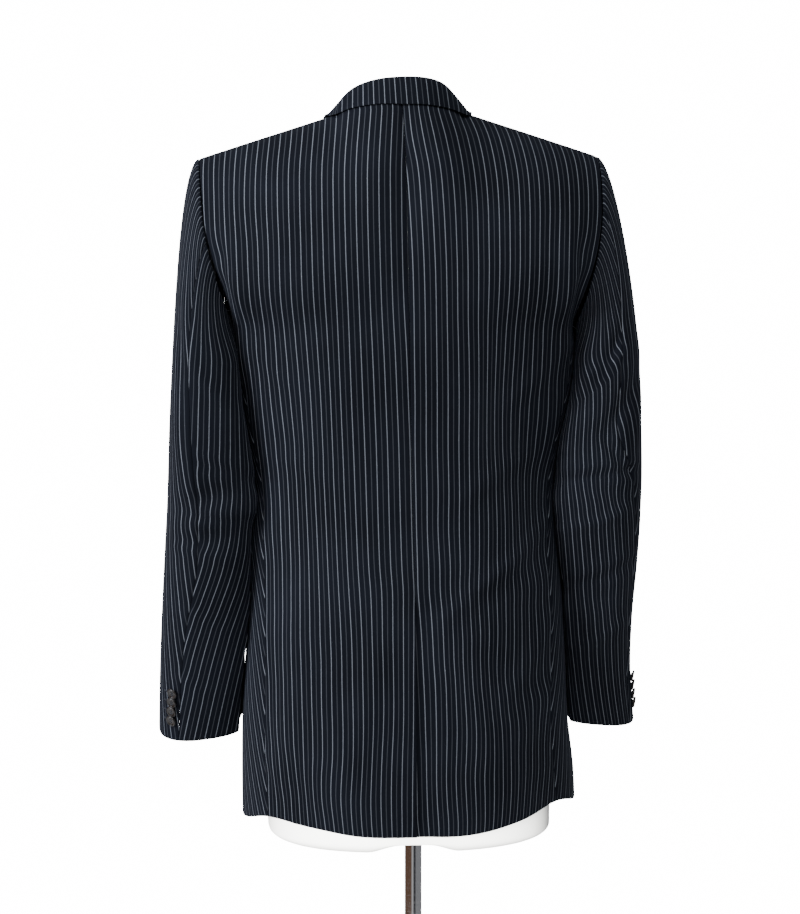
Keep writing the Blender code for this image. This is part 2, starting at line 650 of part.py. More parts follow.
def front_rows(side, columns):
    """Arcs, heights and upper columns of a front; columns run from the side seam to the edge."""
    seam = back_seam[side](0.72) + side_width(0.72)
    edge = girth(side, 0.72) + FRONT_OVERLAP
    base = mix(seam, edge, columns)
    hems = hem_height[side](base)
    corner = np.clip((base - (edge - CUTAWAY)) / CUTAWAY, 0, 1)
    hems = hems + CUTAWAY * (1 - np.sqrt(1 - corner ** 2))
    share = np.linspace(0, 1, LOWER_ROWS + 1)[:, None]
    zs = mix(hems, ARMPIT_Z, share)
    starts = back_seam[side](zs) + side_width(zs) + 0.75 * SEAM
    arcs = mix(starts, front_edge_arc(side, zs), columns)
    w = np.linspace(0, 1, UPPER_ROWS + 1)[1:, None]
    us = mix(1.0, roll_u(side, w), columns)
    return arcs, zs, us


def build_front(side):
    shoulder = np.linspace(0, 1, SHOULDER_COLUMNS + 1)
    arcs, zs, us = front_rows(side, shoulder)
    outer, inner = panel_grid(side, (arcs, zs), "front", us)
    wall("front_" + SIDE_NAME[side], outer, inner)


# ---------------------------------------------------------------- pieces that lie on the fronts
def lay_one(side, face, half, z):
    """Surface point and normal of one face at a front-view place (half width, height)."""
    if z < ARMPIT_Z - 0.004:
        own = side if half >= 0 else -side
        arc = arc_at_half(own, abs(half), z, face)
        if own != side:
            arc = girth(side, z) + girth(own, z) - arc
        return lower_surface(side, arc, z)
    u, w = half / 0.2, (z - ARMPIT_Z) / (1.45 - ARMPIT_Z)
    step = 0.003
    for _ in range(12):
        point = upper(side, face, u, w)
        miss = np.array([side * (point[0] - lean(z)) - half, point[2] - z])
        du = (upper(side, face, u + step, w) - point) / step
        dw = (upper(side, face, u, w + step) - point) / step
        jacobian = np.array([[side * du[0], side * dw[0]], [du[2], dw[2]]])
        move = np.linalg.solve(jacobian, miss)
        u = float(np.clip(u - np.clip(move[0], -0.2, 0.2), 0, 1))
        w = float(np.clip(w - np.clip(move[1], -0.2, 0.2), 0, 1))
    return upper_surface(side, face, u, w)


def build_lapel(side):
    reach = track(LAPEL, "reach")
    top_z = LAPEL[-1].z + GORGE_DROP
    start_z = BREAK_Z if side == LEFT else 1.188
    outer, inner = [], []
    for i in range(LAPEL_ROWS + 1):
        level = mix(start_z, top_z, i / LAPEL_ROWS)
        near = roll_half(side, level)
        if side == RIGHT:
            near = max(near, -roll_half(side, level) + 0.004)
        far = roll_half(side, level) + reach(level)
        far = max(far, near + 0.002)
        row_outer, row_inner = [], []
        for j in range(LAPEL_COLUMNS + 1):
            f = j / LAPEL_COLUMNS
            half = mix(near, far, f)
            drop = GORGE_DROP * f * smooth((level - 1.22) / (top_z - 1.22))
            point, normal = lay_one(side, "front", half, level - drop)
            lift = mix(2, 5, smooth((level - 1.28) / 0.08)) * SEAM
            lift += LAPEL_ROLL * (1 - f) ** 2 * smooth((level - BREAK_Z) / 0.08) * f * 4
            row_inner.append(point + normal * lift)
            row_outer.append(point + normal * (lift + WALL))
        outer.append(row_outer)
        inner.append(row_inner)
    wall("lapel_" + SIDE_NAME[side], np.array(outer), np.array(inner))


def cleared(points, need, passes=4):
    """Move points out along the body's normals until they stand a distance above it, evenly."""
    grids = []
    u, w = np.meshgrid(np.linspace(0, 1, 41), np.linspace(0.5, 1, 31))
    for side in (LEFT, RIGHT):
        for face in ("back", "front"):
            point, normal = upper_surface(side, face, u, w)
            grids.append(np.concatenate([point, normal], axis=-1).reshape(-1, 6))
    body = np.concatenate(grids)
    for turn in range(passes):
        for index in np.ndindex(points.shape[:-1]):
            distance = ((points[index] - body[:, :3]) ** 2).sum(axis=1)
            nearest = np.argsort(distance)[:4]
            weight = 1 / (distance[nearest] + 1e-6)
            spot = (body[nearest] * weight[:, None]).sum(axis=0) / weight.sum()
            normal = unit(spot[3:])
            height = (points[index] - spot[:3]) @ normal
            points[index] += normal * max(0.0, need[index] - height)
        if turn < passes - 1:
            points[1:-1] = (points[:-2] + 2 * points[1:-1] + points[2:]) / 4
    return points


def collar_path(side, station):
    """Middle line of the collar's wall at one station, from its outer edge to the neck seam."""
    mid = lean(station.roll_z) + 0.0012
    roll = np.array([mid + side * station.roll_half, station.roll_y, station.roll_z])
    point, normal = lay_one(side, station.face, station.edge_half, station.edge_z)
    point[0] += 0.0012 if station.face == "back" else 0.0
    edge = point + normal * (WALL / 2 + 1.5 * SEAM + 0.0004)
    inward = unit(np.array([mid, -0.012, 0]) - np.array([roll[0], roll[1], 0]))
    belly = mix(roll, edge, 0.45) - inward * station.bulge + np.array([0, 0, station.bulge])
    fall = [(1 - t) ** 2 * edge + 2 * t * (1 - t) * belly + t * t * roll
            for t in (0, 0.25, 0.5, 0.75, 0.93)]
    fold = [roll + inward * 0.0016 + np.array([0, 0, 0.0012]),
            roll + inward * 0.0036 + np.array([0, 0, -0.0006])]
    stand_low = roll + inward * 0.0050 - np.array([0, 0, station.stand])
    if station.roll_y < NECK_POINT.y:
        turn = math.atan2(station.roll_half / NECK_POINT.half,
                          (NECK_POINT.y - station.roll_y) / (back_depth(NECK_Z) + NECK_POINT.y))
        seam = top_edge(side, "back", np.array(turn / (math.pi / 2) * neck_columns("back")))
        stand_low = seam + inward * WALL / 2 + np.array([0, 0, 2.5 * SEAM])
    return fall + fold + [mix(fold[-1], stand_low, 0.5), stand_low]


def build_collar():
    halves = {side: [collar_path(side, station) for station in COLLAR] for side in (LEFT, RIGHT)}
    stations = [halves[LEFT][k] for k in range(len(COLLAR) - 1, 0, -1)] + halves[RIGHT]
    coarse = np.array(stations)
    knots = np.arange(len(coarse), dtype=float)
    fine = np.linspace(0, len(coarse) - 1, 3 * (len(coarse) - 1) + 1)
    grid = np.empty((len(fine), coarse.shape[1], 3))
    for k in range(coarse.shape[1]):
        slopes = np.gradient(coarse[:, k], knots, axis=0)
        i = np.clip(fine.astype(int), 0, len(coarse) - 2)
        f = (fine - i)[:, None]
        grid[:, k] = (coarse[i, k] * (1 + 2 * f) * (1 - f) ** 2 + slopes[i] * f * (1 - f) ** 2
                      + coarse[i + 1, k] * f * f * (3 - 2 * f) - slopes[i + 1] * f * f * (1 - f))
    need = np.full(grid.shape[:2], -1.0)
    need[:, :5] = WALL / 2 + 6 * SEAM
    in_front = 3 * (len(COLLAR) - 8) + 1
    need[:in_front] = need[-in_front:] = WALL / 2 + 7.5 * SEAM
    need += 0.0007 * np.exp(-((grid[..., 1] - NECK_POINT.y) / 0.02) ** 2)
    grid = cleared(grid, need)
    normal = unit(np.cross(np.gradient(grid, axis=1), np.gradient(grid, axis=0)))
    wall("collar", grid + normal * WALL / 2, grid - normal * WALL / 2)


def build_flap(side):
    columns, rows = 10, 3
    outer, inner = [], []
    start = FLAP_BACK_ARC
    for i in range(rows + 1):
        down = i / rows
        row_outer, row_inner = [], []
        for j in range(columns + 1):
            f = j / columns
            corner = max(0.0, abs(f - 0.5) * 2 - 0.84) / 0.16
            z = FLAP_TOP_Z - (FLAP_DROP - 0.008 * corner ** 2) * down
            point, normal = lower_surface(side, start + FLAP_LENGTH * f, z)
            lift = 2.5 * SEAM + 0.0010 * down
            row_inner.append(point + normal * lift)
            row_outer.append(point + normal * (lift + FLAP_WALL))
        outer.append(row_outer)
        inner.append(row_inner)
    wall("flap_" + SIDE_NAME[side], np.array(outer), np.array(inner))


# ---------------------------------------------------------------- sleeves
def sleeve_armhole(side, around):
    """Armhole ring: 0 shoulder tip, 0.25 back, 0.5 underarm, 0.75 front."""
    corners = armhole_corners(side)
    scoop = np.linspace(0, 1, 9)
    arcs = mix(corners[0], corners[1], scoop)
    heights = ARMPIT_Z - ARMHOLE_SCOOP * np.sin(math.pi * scoop) ** 0.8
    under = ring(side, arcs, heights)
    down = armhole_edge(side, "back", np.linspace(1, 0, 17))
    up = armhole_edge(side, "front", np.linspace(0, 1, 17))
    first = np.concatenate([down, under[1:5]])
    second = np.concatenate([under[4:], up[1:]])
    around = np.asarray(around, float)
    back = spline(first, np.clip(around * 2, 0, 1))
    front = spline(second, np.clip(around * 2 - 1, 0, 1))
    return np.where(around[..., None] < 0.5, back, front)


def sleeve_ring(side, around, z):
    """Point of the sleeve's section at a height; around is 0 at the outside."""
    outer = track(SLEEVES, "outer_" + SIDE_NAME[side])(z)
    inner = half_width[side](z) + track(SLEEVES, "clear")(z)
    hind, fore, square = (track(SLEEVES, part)(z) for part in ("hind", "fore", "square"))
    turn = (np.asarray(around, float) % 1) * 4
    quarter = np.where(turn < 2, turn, 4 - turn)
    x, y = squared_ring(quarter, (fore - hind) / 2, (outer - inner) / 2, (outer - inner) / 2, square)
    corner = np.where((turn > 1) & (turn < 2), np.sin(math.pi * (turn - 1)) ** 2, 0.0)
    half = (outer + inner) / 2 - y - track(SLEEVES, "press")(z) * corner
    depth = (fore + hind) / 2 - np.where(turn < 2, x, -x)
    return np.stack(np.broadcast_arrays(lean(z) + side * half, depth, z), axis=-1)


def crease_depth(side, around, z):
    total = np.zeros(np.broadcast(around, z).shape)
    for crease in CREASES:
        if crease.side != side:
            continue
        shift = around - crease.around
        line = crease.z + crease.slope * shift
        fade = np.exp(-(shift / crease.reach) ** 2)
        total = total + crease.depth * fade * np.exp(-((z - line) / crease.height) ** 2)
    return total


def sleeve_height(side, around, rise):
    """Height of the tube's rows; the lowest row follows the slanting cuff edge."""
    cuff, turn = CUFFS[side], 2 * math.pi * around
    low = cuff.z - cuff.outside * np.cos(turn) - cuff.hind * np.sin(turn)
    return mix(low, SLEEVE_TOP_Z, np.clip(rise, 0, 1))


def sleeve_surface(side, around, rise):
    """Sleeve point; rise 0..1 from the cuff to the head's base, 1..2 over the head."""
    around, rise = np.broadcast_arrays(np.asarray(around, float), np.asarray(rise, float))
    tube = sleeve_ring(side, around, sleeve_height(side, around, rise))
    base = sleeve_ring(side, around, np.full(around.shape, SLEEVE_TOP_Z))
    lower = sleeve_ring(side, around, np.full(around.shape, SLEEVE_TOP_Z - 0.01))
    end = sleeve_armhole(side, around % 1)
    under = 0.5 - 0.5 * np.cos(2 * math.pi * around)
    end[..., 0] += side * (3.5 * SEAM + 0.0020 * under ** 4)
    swing = np.sin(2 * math.pi * around)
    arrive = unit(np.stack([-side * (1.02 - under), 0.45 * swing, 0.22 + 1.3 * under ** 3], axis=-1))
    reach = np.linalg.norm(end - base, axis=-1)[..., None]
    t = np.clip(rise - 1, 0, 1)[..., None]
    head = (base * (1 + 2 * t) * (1 - t) ** 2 + unit(base - lower) * reach * t * (1 - t) ** 2
            + end * t * t * (3 - 2 * t) - arrive * reach * HEAD_FULLNESS * t * t * (1 - t))
    return np.where(rise[..., None] > 1, head, tube)


def sleeve_seam(side, rise):
    """Fractions round the sleeve of its hind and fore seams at each row."""
    rise = np.asarray(rise, float)
    z = mix(CUFFS[side].z, SLEEVE_TOP_Z, np.clip(rise, 0, 1))
    name = SIDE_NAME[side]
    hind, fore = track(SLEEVE_SEAMS, "hind_" + name)(z), track(SLEEVE_SEAMS, "fore")(z)
    f = smooth(rise - 1)
    return mix(hind, HEAD_SEAM[side], f), mix(fore, HEAD_SEAM["fore"], f)


def sleeve_grid(side, around, rise):
    """Outer and inner wall points of a sleeve piece."""
    small = 0.004
    point = sleeve_surface(side, around, rise)
    across = sleeve_surface(side, around + small, rise) - sleeve_surface(side, around - small, rise)
    upward = (sleeve_surface(side, around, np.minimum(rise + small, 2))
              - sleeve_surface(side, around, np.maximum(rise - small, 0)))
    normal = unit(np.cross(across, upward)) * -side
    z = sleeve_height(side, around, rise)
    depth = crease_depth(side, around % 1, z) * smooth((1.6 - rise) / 0.6)
    point = point + normal * depth[..., None]
    return point, point - normal * WALL, normal


def build_sleeves(side):
    name = SIDE_NAME[side]
    rise = np.concatenate([np.linspace(0, 1, SLEEVE_ROWS + 1), 1 + np.linspace(0, 1, HEAD_ROWS + 1)[1:]])
    hind, fore = sleeve_seam(side, rise)
    gap = SEAM / 0.34
    top = np.linspace(0, 1, TOP_SLEEVE_COLUMNS + 1)
    around = mix((fore - 1 + gap)[:, None], (hind - gap)[:, None], top)
    outer, inner, _ = sleeve_grid(side, around, rise[:, None])
    wall("top_sleeve_" + name, outer, inner)
    under = np.linspace(0, 1, UNDER_SLEEVE_COLUMNS + 1)
    around = mix((hind + gap)[:, None], (fore - gap)[:, None], under)
    outer, inner, _ = sleeve_grid(side, around, rise[:, None])
    wall("under_sleeve_" + name, outer, inner)


# ---------------------------------------------------------------- buttons
def button_profile(radius, h):
    """Underside, rounded rim and sunk middle of a horn button."""
    return ((radius * 0.70, 0.0), (radius * 0.97, h * 0.30), (radius, h * 0.62),
            (radius * 0.90, h), (radius * 0.74, h * 0.94), (radius * 0.62, h * 0.66))


def build_buttons():
    for label, z in FRONT_BUTTON_Z.items():
        arc = girth(LEFT, z)
        point, normal = lower_surface(LEFT, arc, z)
        spot = point + normal * 2 * SEAM
        profile = button_profile(FRONT_BUTTON_RADIUS, FRONT_BUTTON_HEIGHT)
        turned("front_button_" + label, profile, spot, normal, HORN, 16)
    for side in (LEFT, RIGHT):
        for k, height in enumerate(CUFF_BUTTON_Z):
            rise = np.array([height / (SLEEVE_TOP_Z - CUFFS[side].z)])
            hind, _ = sleeve_seam(side, rise)
            around = hind - CUFF_BUTTON_INSET / 0.29
            outer, _, normal = sleeve_grid(side, around, rise)
            above, _, _ = sleeve_grid(side, around, rise + 0.01)
            upward = unit(above[0] - outer[0])
            lean_in = math.cos(CUFF_BUTTON_TILT) * normal[0] - math.sin(CUFF_BUTTON_TILT) * upward
            lift = 1.5 * SEAM + CUFF_BUTTON_RADIUS * 0.70 * math.sin(CUFF_BUTTON_TILT)
            label = "cuff_button_%s_%d" % (SIDE_NAME[side], k + 1)
            profile = button_profile(CUFF_BUTTON_RADIUS, CUFF_BUTTON_HEIGHT)
            turned(label, profile, outer[0] + normal[0] * lift, lean_in, HORN, 12)


# ---------------------------------------------------------------- dress form and stand
def form_half(side):
    """Rows of form points from centre back to centre front, hem level up to the neck base."""
    neck, shoulder, across = NECK_COLUMNS // 2, SHOULDER_COLUMNS // 2, 2
    back_u = np.linspace(0, 1, neck + shoulder + 1)
    front_u = back_u[::-1]
    rows = []
    for z in np.linspace(FORM_HEM_Z, ARMPIT_Z, LOWER_ROWS // 2 + 2):
        corners = float(back_seam[side](z)), float(back_seam[side](z) + side_width(z))
        whole = float(girth(side, z))
        arcs = np.concatenate([back_u * corners[0],
                               np.linspace(*corners, across + 1)[1:-1],
                               whole - front_u * (whole - corners[1])])
        small = 0.002
        point = ring(side, arcs, np.full(arcs.shape, z))
        tangent = ring(side, arcs + small, z) - ring(side, arcs - small, z)
        normal = unit(np.stack([tangent[:, 1], -tangent[:, 0], np.zeros(len(arcs))], -1) * side)
        normal[[0, -1]] = [[0, -1, 0], [0, 1, 0]]
        rows.append(point - normal * ease(z))
    for w in np.linspace(0, 1, UPPER_ROWS // 2 + 2)[1:]:
        rest = mix(NECK_GAP, REST_GAP, smooth((back_u - neck_columns("back") + 0.02) / 0.20))
        gaps = mix(float(ease(ARMPIT_Z)), rest, smooth(w / 0.9))
        halves = []
        for face, us, gap in (("back", back_u, gaps), ("front", front_u, gaps[::-1])):
            point, normal = upper_surface(side, face, us, np.full(us.shape, w))
            point = point - normal * fold_rise(face, point)[..., None]
            halves.append(point - normal * gap[:, None])
        bridge = [mix(halves[0][-1], halves[1][0], k / across) for k in range(1, across)]
        rows.append(np.concatenate([halves[0], np.array(bridge), halves[1]]))
    return np.array(rows)


def build_form():
    left, right = form_half(LEFT), form_half(RIGHT)
    loop = np.concatenate([right, left[:, -2:0:-1]], axis=1)
    rows, count = loop.shape[:2]
    low = loop[0]
    centre = np.array([lean(FORM_HEM_Z), 0.0, FORM_HEM_Z])
    bottoms = []
    for scale in (0.22, 0.50, 0.75, 0.92):
        ring_points = mix(centre, low, scale)
        lobes = 0.25 + 0.75 * smooth((np.abs(ring_points[:, 0] - centre[0]) - 0.012) / 0.040)
        depth = (FORM_HEM_Z - FORM_BOTTOM_Z) * math.sqrt(1 - scale ** 5)
        ring_points[:, 2] = FORM_HEM_Z - depth * (lobes if scale > 0.3 else 0.25)
        bottoms.append(ring_points)
    grid = np.concatenate([np.array(bottoms), loop])
    vertices = list(grid.reshape(-1, 3))
    faces = []
    for i in range(len(grid) - 1):
        for k in range(count):
            n = (k + 1) % count
            faces.append([i * count + k, i * count + n, (i + 1) * count + n, (i + 1) * count + k])
    faces.append(list(range(count - 1, -1, -1)))
    neck_steps = NECK_COLUMNS // 2
    half_count = len(left[0])
    top = (len(grid) - 1) * count
    right_back = list(range(0, neck_steps + 1))
    right_front = list(range(half_count - 1 - neck_steps, half_count))
    left_front = list(range(half_count, half_count + neck_steps))
    left_back = list(range(count - neck_steps, count))
    neck_loop = right_back + right_front[1:] + left_front[:-1] + left_back
    base = [grid[-1][k] for k in neck_loop]
    centre = np.array([lean(NECK_TOP_Z), -0.012, 0])
    previous = [top + k for k in neck_loop]
    for scale, z in ((1.0, NECK_TOP_Z - 0.012), (0.90, NECK_TOP_Z - 0.003), (0.6, NECK_TOP_Z)):
        start = len(vertices)
        for k in range(len(base)):
            angle = 2 * math.pi * k / len(base)
            spoke = np.array([math.sin(angle), -math.cos(angle), 0])
            vertices.append(centre + spoke * NECK_RADIUS * scale + np.array([0, 0, z]))
        current = [start + k for k in range(len(base))]
        for k in range(len(base)):
            n = (k + 1) % len(base)
            faces.append([previous[k], previous[n], current[n], current[k]])
        previous = current
    faces.append(previous)
    add_mesh("form_torso", vertices, faces, FORM_WHITE, merge=0.0002)


def build_stand():
    under = FORM_HEM_Z - (FORM_HEM_Z - FORM_BOTTOM_Z) * math.sqrt(1 - 0.22 ** 5) * 0.25
    pole = ((POLE_RADIUS, HUB_TOP_Z + SEAM), (POLE_RADIUS, under - SEAM))
    turned("pole", pole, np.zeros(3), (0, 0, 1), CHROME, 24)
    plate = [(BASE_RADIUS, 0.0), (BASE_RADIUS, BASE_EDGE), (BASE_RADIUS - 0.004, BASE_EDGE + 0.003)]
    for share in (0.75, 0.5, 0.3, 0.16):
        plate.append((BASE_RADIUS * share, BASE_EDGE + 0.003 + BASE_DOME * (1 - share) ** 1.4))
    plate += [(HUB_RADIUS, 0.024), (HUB_RADIUS * 0.85, HUB_TOP_Z - 0.003), (HUB_RADIUS * 0.7, HUB_TOP_Z)]
    turned("base", plate, np.zeros(3), (0, 0, 1), CHROME, 40)


def main():
    for thing in list(bpy.data.objects):
        bpy.data.objects.remove(thing)
    for side in (LEFT, RIGHT):
        build_back(side)
        build_side(side)
        build_front(side)
        build_lapel(side)
        build_flap(side)
        build_sleeves(side)
    build_collar()
    build_buttons()
    build_form()
    build_stand()


main()
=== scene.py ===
"""Pinstripe suit jacket on a limbless dress form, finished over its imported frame.

Metres, +Z up, floor at z = 0. The wearer faces +Y and their left side is -X. The sewn pieces
are lofted from the section tables, with their creases, and carry the stripes in a UV map whose
U runs across the cloth and V along it, both in metres.
"""
import math

import bmesh
import bpy
import numpy as np
from bpy.props import FloatProperty, FloatVectorProperty, PointerProperty
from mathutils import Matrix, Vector


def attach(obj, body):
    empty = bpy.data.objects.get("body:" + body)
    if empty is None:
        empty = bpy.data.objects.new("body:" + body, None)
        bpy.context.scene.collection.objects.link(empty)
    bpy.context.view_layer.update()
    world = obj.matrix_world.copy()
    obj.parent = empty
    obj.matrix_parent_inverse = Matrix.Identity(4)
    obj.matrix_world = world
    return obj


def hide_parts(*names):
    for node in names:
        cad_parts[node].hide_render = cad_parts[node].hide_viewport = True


bl_info = {
    "name": "Pinstripe Suit Jacket",
    "version": (1, 0, 0),
    "blender": (4, 5, 0),
    "location": "View3D > Sidebar > Suit",
    "description": "Pinstripe suit jacket on a dress form, with cloth, buttons and stitching",
    "category": "Add Mesh",
}

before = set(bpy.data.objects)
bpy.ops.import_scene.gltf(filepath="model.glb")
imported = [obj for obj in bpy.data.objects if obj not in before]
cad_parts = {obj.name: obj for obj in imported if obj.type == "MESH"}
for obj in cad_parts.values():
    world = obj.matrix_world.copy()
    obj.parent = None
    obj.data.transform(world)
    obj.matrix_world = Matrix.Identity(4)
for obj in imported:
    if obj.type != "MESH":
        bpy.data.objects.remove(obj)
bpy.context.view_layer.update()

LEFT, RIGHT = -1, 1
SIDE_NAME = {LEFT: "left", RIGHT: "right"}
SIDES = (LEFT, RIGHT)

# ---------------------------------------------------------------- garment measures
WALL, SEAM = 0.0018, 0.0003
ARMPIT_Z, NECK_Z, FRONT_NECK_Z = 1.260, 1.500, 1.425
VENT_TOP_Z, VENT_UNDERLAP, FRONT_OVERLAP = 0.976, 0.038, 0.020
BREAK_Z, CUTAWAY, ARMHOLE_SCOOP = 1.125, 0.085, 0.024
SHOULDER_CROWN, SHOULDER_TILT = 0.008, 0.0022
NECK_FADE = {"back": 7, "front": 12}
FULLNESS = {"back": 0.026, "front": 0.010}
SLEEVE_TOP_Z, HEAD_FULLNESS = 1.215, 0.26
NECK_SHARE = 4 / 12                          # of a panel's top edge that runs round the neck
HEM_CUT_Z = 0.72                             # level at which the hem's arcs are measured
STRIPE_PITCH = 0.0118

# z, half widths left and right of the lean line, squareness
RINGS = np.array((
    (0.690, 0.1875, 0.1900, 2.45), (0.760, 0.1880, 0.1870, 2.45), (0.820, 0.1870, 0.1800, 2.45),
    (0.880, 0.1835, 0.1775, 2.45), (0.950, 0.1795, 0.1755, 2.45), (1.020, 0.1775, 0.1700, 2.45),
    (1.075, 0.1710, 0.1670, 2.45), (1.120, 0.1765, 0.1720, 2.50), (1.180, 0.1840, 0.1850, 2.60),
    (1.260, 0.1900, 0.1930, 2.70)))
# z, lean to the wearer's left, depth of the centre back, depth of the centre front
PROFILES = np.array((
    (0.690, -0.0065, 0.1370, 0.1270), (0.800, -0.0065, 0.1330, 0.1270),
    (0.900, -0.0065, 0.1240, 0.1240), (1.000, -0.0075, 0.1110, 0.1190),
    (1.080, -0.0095, 0.1060, 0.1190), (1.160, -0.0115, 0.1110, 0.1250),
    (1.260, -0.0135, 0.1230, 0.1310), (1.340, -0.0155, 0.1270, 0.1240),
    (1.420, -0.0165, 0.1160, 0.0900), (1.500, -0.0190, 0.0885, 0.0600)))
# z, arc from the centre back to the left and right side seams, width of the side body
SEAMS = np.array((
    (0.690, 0.1720, 0.1740, 0.115), (0.800, 0.1760, 0.1660, 0.112), (0.920, 0.1760, 0.1680, 0.105),
    (1.000, 0.1760, 0.1660, 0.100), (1.080, 0.1800, 0.1740, 0.092), (1.170, 0.1980, 0.1960, 0.094),
    (1.260, 0.2170, 0.2190, 0.098)))
# arc from the centre back, hem height left and right
HEM = np.array((
    (0.00, 0.7100, 0.7100), (0.06, 0.7110, 0.7110), (0.12, 0.7190, 0.7220), (0.17, 0.7235, 0.7350),
    (0.22, 0.7130, 0.7270), (0.27, 0.7060, 0.7180), (0.34, 0.7000, 0.7060), (0.48, 0.6960, 0.6960)))
# armhole edge from the back underarm over the shoulder tip to the front: half width, y, z
ARMHOLE_BACK = ((0.1980, -0.0735, 1.2950), (0.2075, -0.0790, 1.3300), (0.2145, -0.0730, 1.3680),
                (0.2175, -0.0570, 1.4040), (0.2190, -0.0340, 1.4320))
SHOULDER_TIP = (0.2190, -0.0100, 1.4430)
ARMHOLE_FRONT = ((0.2165, 0.0150, 1.4360), (0.2080, 0.0400, 1.4080), (0.1960, 0.0570, 1.3700),
                 (0.1870, 0.0640, 1.3300), (0.1845, 0.0600, 1.2920))
NECK_POINT = (0.0660, -0.0120, 1.4920)
# z, outer half widths left and right, clearance, hind and fore edges, squareness, inner press
SLEEVES = np.array((
    (0.790, 0.2820, 0.2645, 0.0015, -0.020, 0.074, 2.2, 0.002),
    (0.870, 0.2797, 0.2565, 0.0035, -0.038, 0.070, 2.3, 0.008),
    (0.930, 0.2767, 0.2565, 0.0054, -0.053, 0.068, 2.4, 0.015),
    (1.000, 0.2718, 0.2608, 0.0034, -0.068, 0.066, 2.5, 0.013),
    (1.075, 0.2655, 0.2642, 0.0020, -0.079, 0.067, 2.6, 0.013),
    (1.150, 0.2607, 0.2640, 0.0022, -0.083, 0.070, 2.6, 0.011),
    (1.215, 0.2560, 0.2618, 0.0028, -0.085, 0.073, 2.7, 0.006)))
# z, hind seam left and right and fore seam, as fractions of the way round from the outside
SLEEVE_SEAMS = np.array((
    (0.800, 0.168, 0.116, 0.700), (0.920, 0.187, 0.116, 0.690), (1.010, 0.225, 0.120, 0.680),
    (1.095, 0.200, 0.150, 0.680), (1.150, 0.193, 0.225, 0.684), (1.215, 0.185, 0.216, 0.690)))
HEAD_HIND, HEAD_FORE = {LEFT: 0.215, RIGHT: 0.155}, 0.700
SLEEVE_GIRTH = 0.29                          # mean girth, for lengths measured round the arm
ARM_CLEAR = {LEFT: 0.0011, RIGHT: 0.0008}    # how far their inner sides are drawn off the body
ARM_REST = 0.0021                            # how close the sleeves rest to the body
# z, how far the left and the right sleeve give towards the body
ARM_PULL = np.array(((0.79, 0.0080, 0.0075), (0.87, 0.0075, 0.0030), (0.93, 0.0035, 0.0050),
                     (1.00, 0.0015, 0.0052), (1.075, 0.0020, 0.0035), (1.15, 0.0030, 0.0030),
                     (1.215, 0.0080, 0.0040)))
# cuff edge: mean height, drop on the outside, drop at the hind edge
CUFFS = {LEFT: (0.8040, 0.005, 0.010), RIGHT: (0.8070, 0.003, 0.003)}
# stripes of the sleeves: height of the elbow, then the lean above it and what is added below it,
# for the outer and for the inner piece
ARM_GRAIN = {LEFT: (1.045, (0.045, 0.05), (0.08, 0.09)), RIGHT: (1.130, (-0.15, 0.27), (0.03, 0.11))}

# the upper stripes of the right inner piece: the way round from which they are counted, the height
# and place of the fold on which they bend, their lean above it and the height where it starts
ARM_LEAD, ARM_BEND, BEND_TOP_Z = 0.135, (1.195, 0.085, 0.36), 1.37
KINK = 0.6                                   # share of a sleeve fold's rise that its stripes swerve by

# folds of the body: face, side, half widths and heights of both ends, width, rise
FOLDS = (
    ("back", LEFT, 0.186, 1.385, 0.176, 1.180, 0.011, 0.0050),
    ("back", LEFT, 0.203, 1.365, 0.187, 1.230, 0.009, -0.0040),
    ("back", RIGHT, 0.176, 1.395, 0.168, 1.190, 0.012, 0.0050),
    ("back", RIGHT, 0.194, 1.370, 0.182, 1.230, 0.010, -0.0040),
    ("back", LEFT, 0.120, 1.010, 0.150, 0.720, 0.016, 0.0030),
    ("back", RIGHT, 0.050, 0.940, 0.085, 0.740, 0.018, 0.0030),
)
# drag folds of the sleeves: side, way round, z, slope, reach, height, depth
CREASES = (
    (LEFT, 0.27, 1.075, 0.10, 0.13, 0.016, -0.0050), (LEFT, 0.30, 1.030, 0.06, 0.12, 0.014, -0.0045),
    (LEFT, 0.16, 1.130, -0.60, 0.05, 0.050, 0.0035), (RIGHT, 0.22, 1.165, -0.35, 0.10, 0.020, -0.0050),
    (RIGHT, 0.27, 1.080, 0.10, 0.12, 0.016, -0.0050), (RIGHT, 0.30, 0.960, 0.10, 0.12, 0.018, -0.0035),
)

# lapel: height, reach from the roll line
LAPEL = np.array(((1.125, 0.001), (1.170, 0.021), (1.230, 0.045), (1.300, 0.065), (1.360, 0.077),
                  (1.402, 0.083)))
GORGE_DROP, LAPEL_ROLL, RIGHT_LAPEL_Z = 0.022, 0.0060, 1.188
# collar stations from the centre back: roll half, y, z; edge half, z; face; stand; bulge
COLLAR = (
    (0.0000, -0.0845, 1.5232, 0.0000, 1.4945, "back", 0.0185, 0.0028),
    (0.0190, -0.0825, 1.5227, 0.0240, 1.4942, "back", 0.0185, 0.0028),
    (0.0370, -0.0740, 1.5192, 0.0470, 1.4915, "back", 0.0165, 0.0028),
    (0.0500, -0.0590, 1.5122, 0.0625, 1.4880, "back", 0.0135, 0.0028),
    (0.0585, -0.0380, 1.5050, 0.0720, 1.4855, "back", 0.0095, 0.0024),
    (0.0612, -0.0270, 1.5010, 0.0765, 1.4850, "back", 0.0080, 0.0022),
    (0.0630, -0.0150, 1.4970, 0.0805, 1.4825, "front", 0.0060, 0.0018),
    (0.0645, 0.0080, 1.4860, 0.0870, 1.4690, "front", 0.0030, 0.0008),
    (0.0610, 0.0290, 1.4690, 0.0955, 1.4535, "front", 0.0018, 0.0004),
    (0.0565, 0.0450, 1.4500, 0.1045, 1.4385, "front", 0.0014, 0.0000),
    (0.0520, 0.0600, 1.4290, 0.0990, 1.4140, "front", 0.0012, 0.0000))
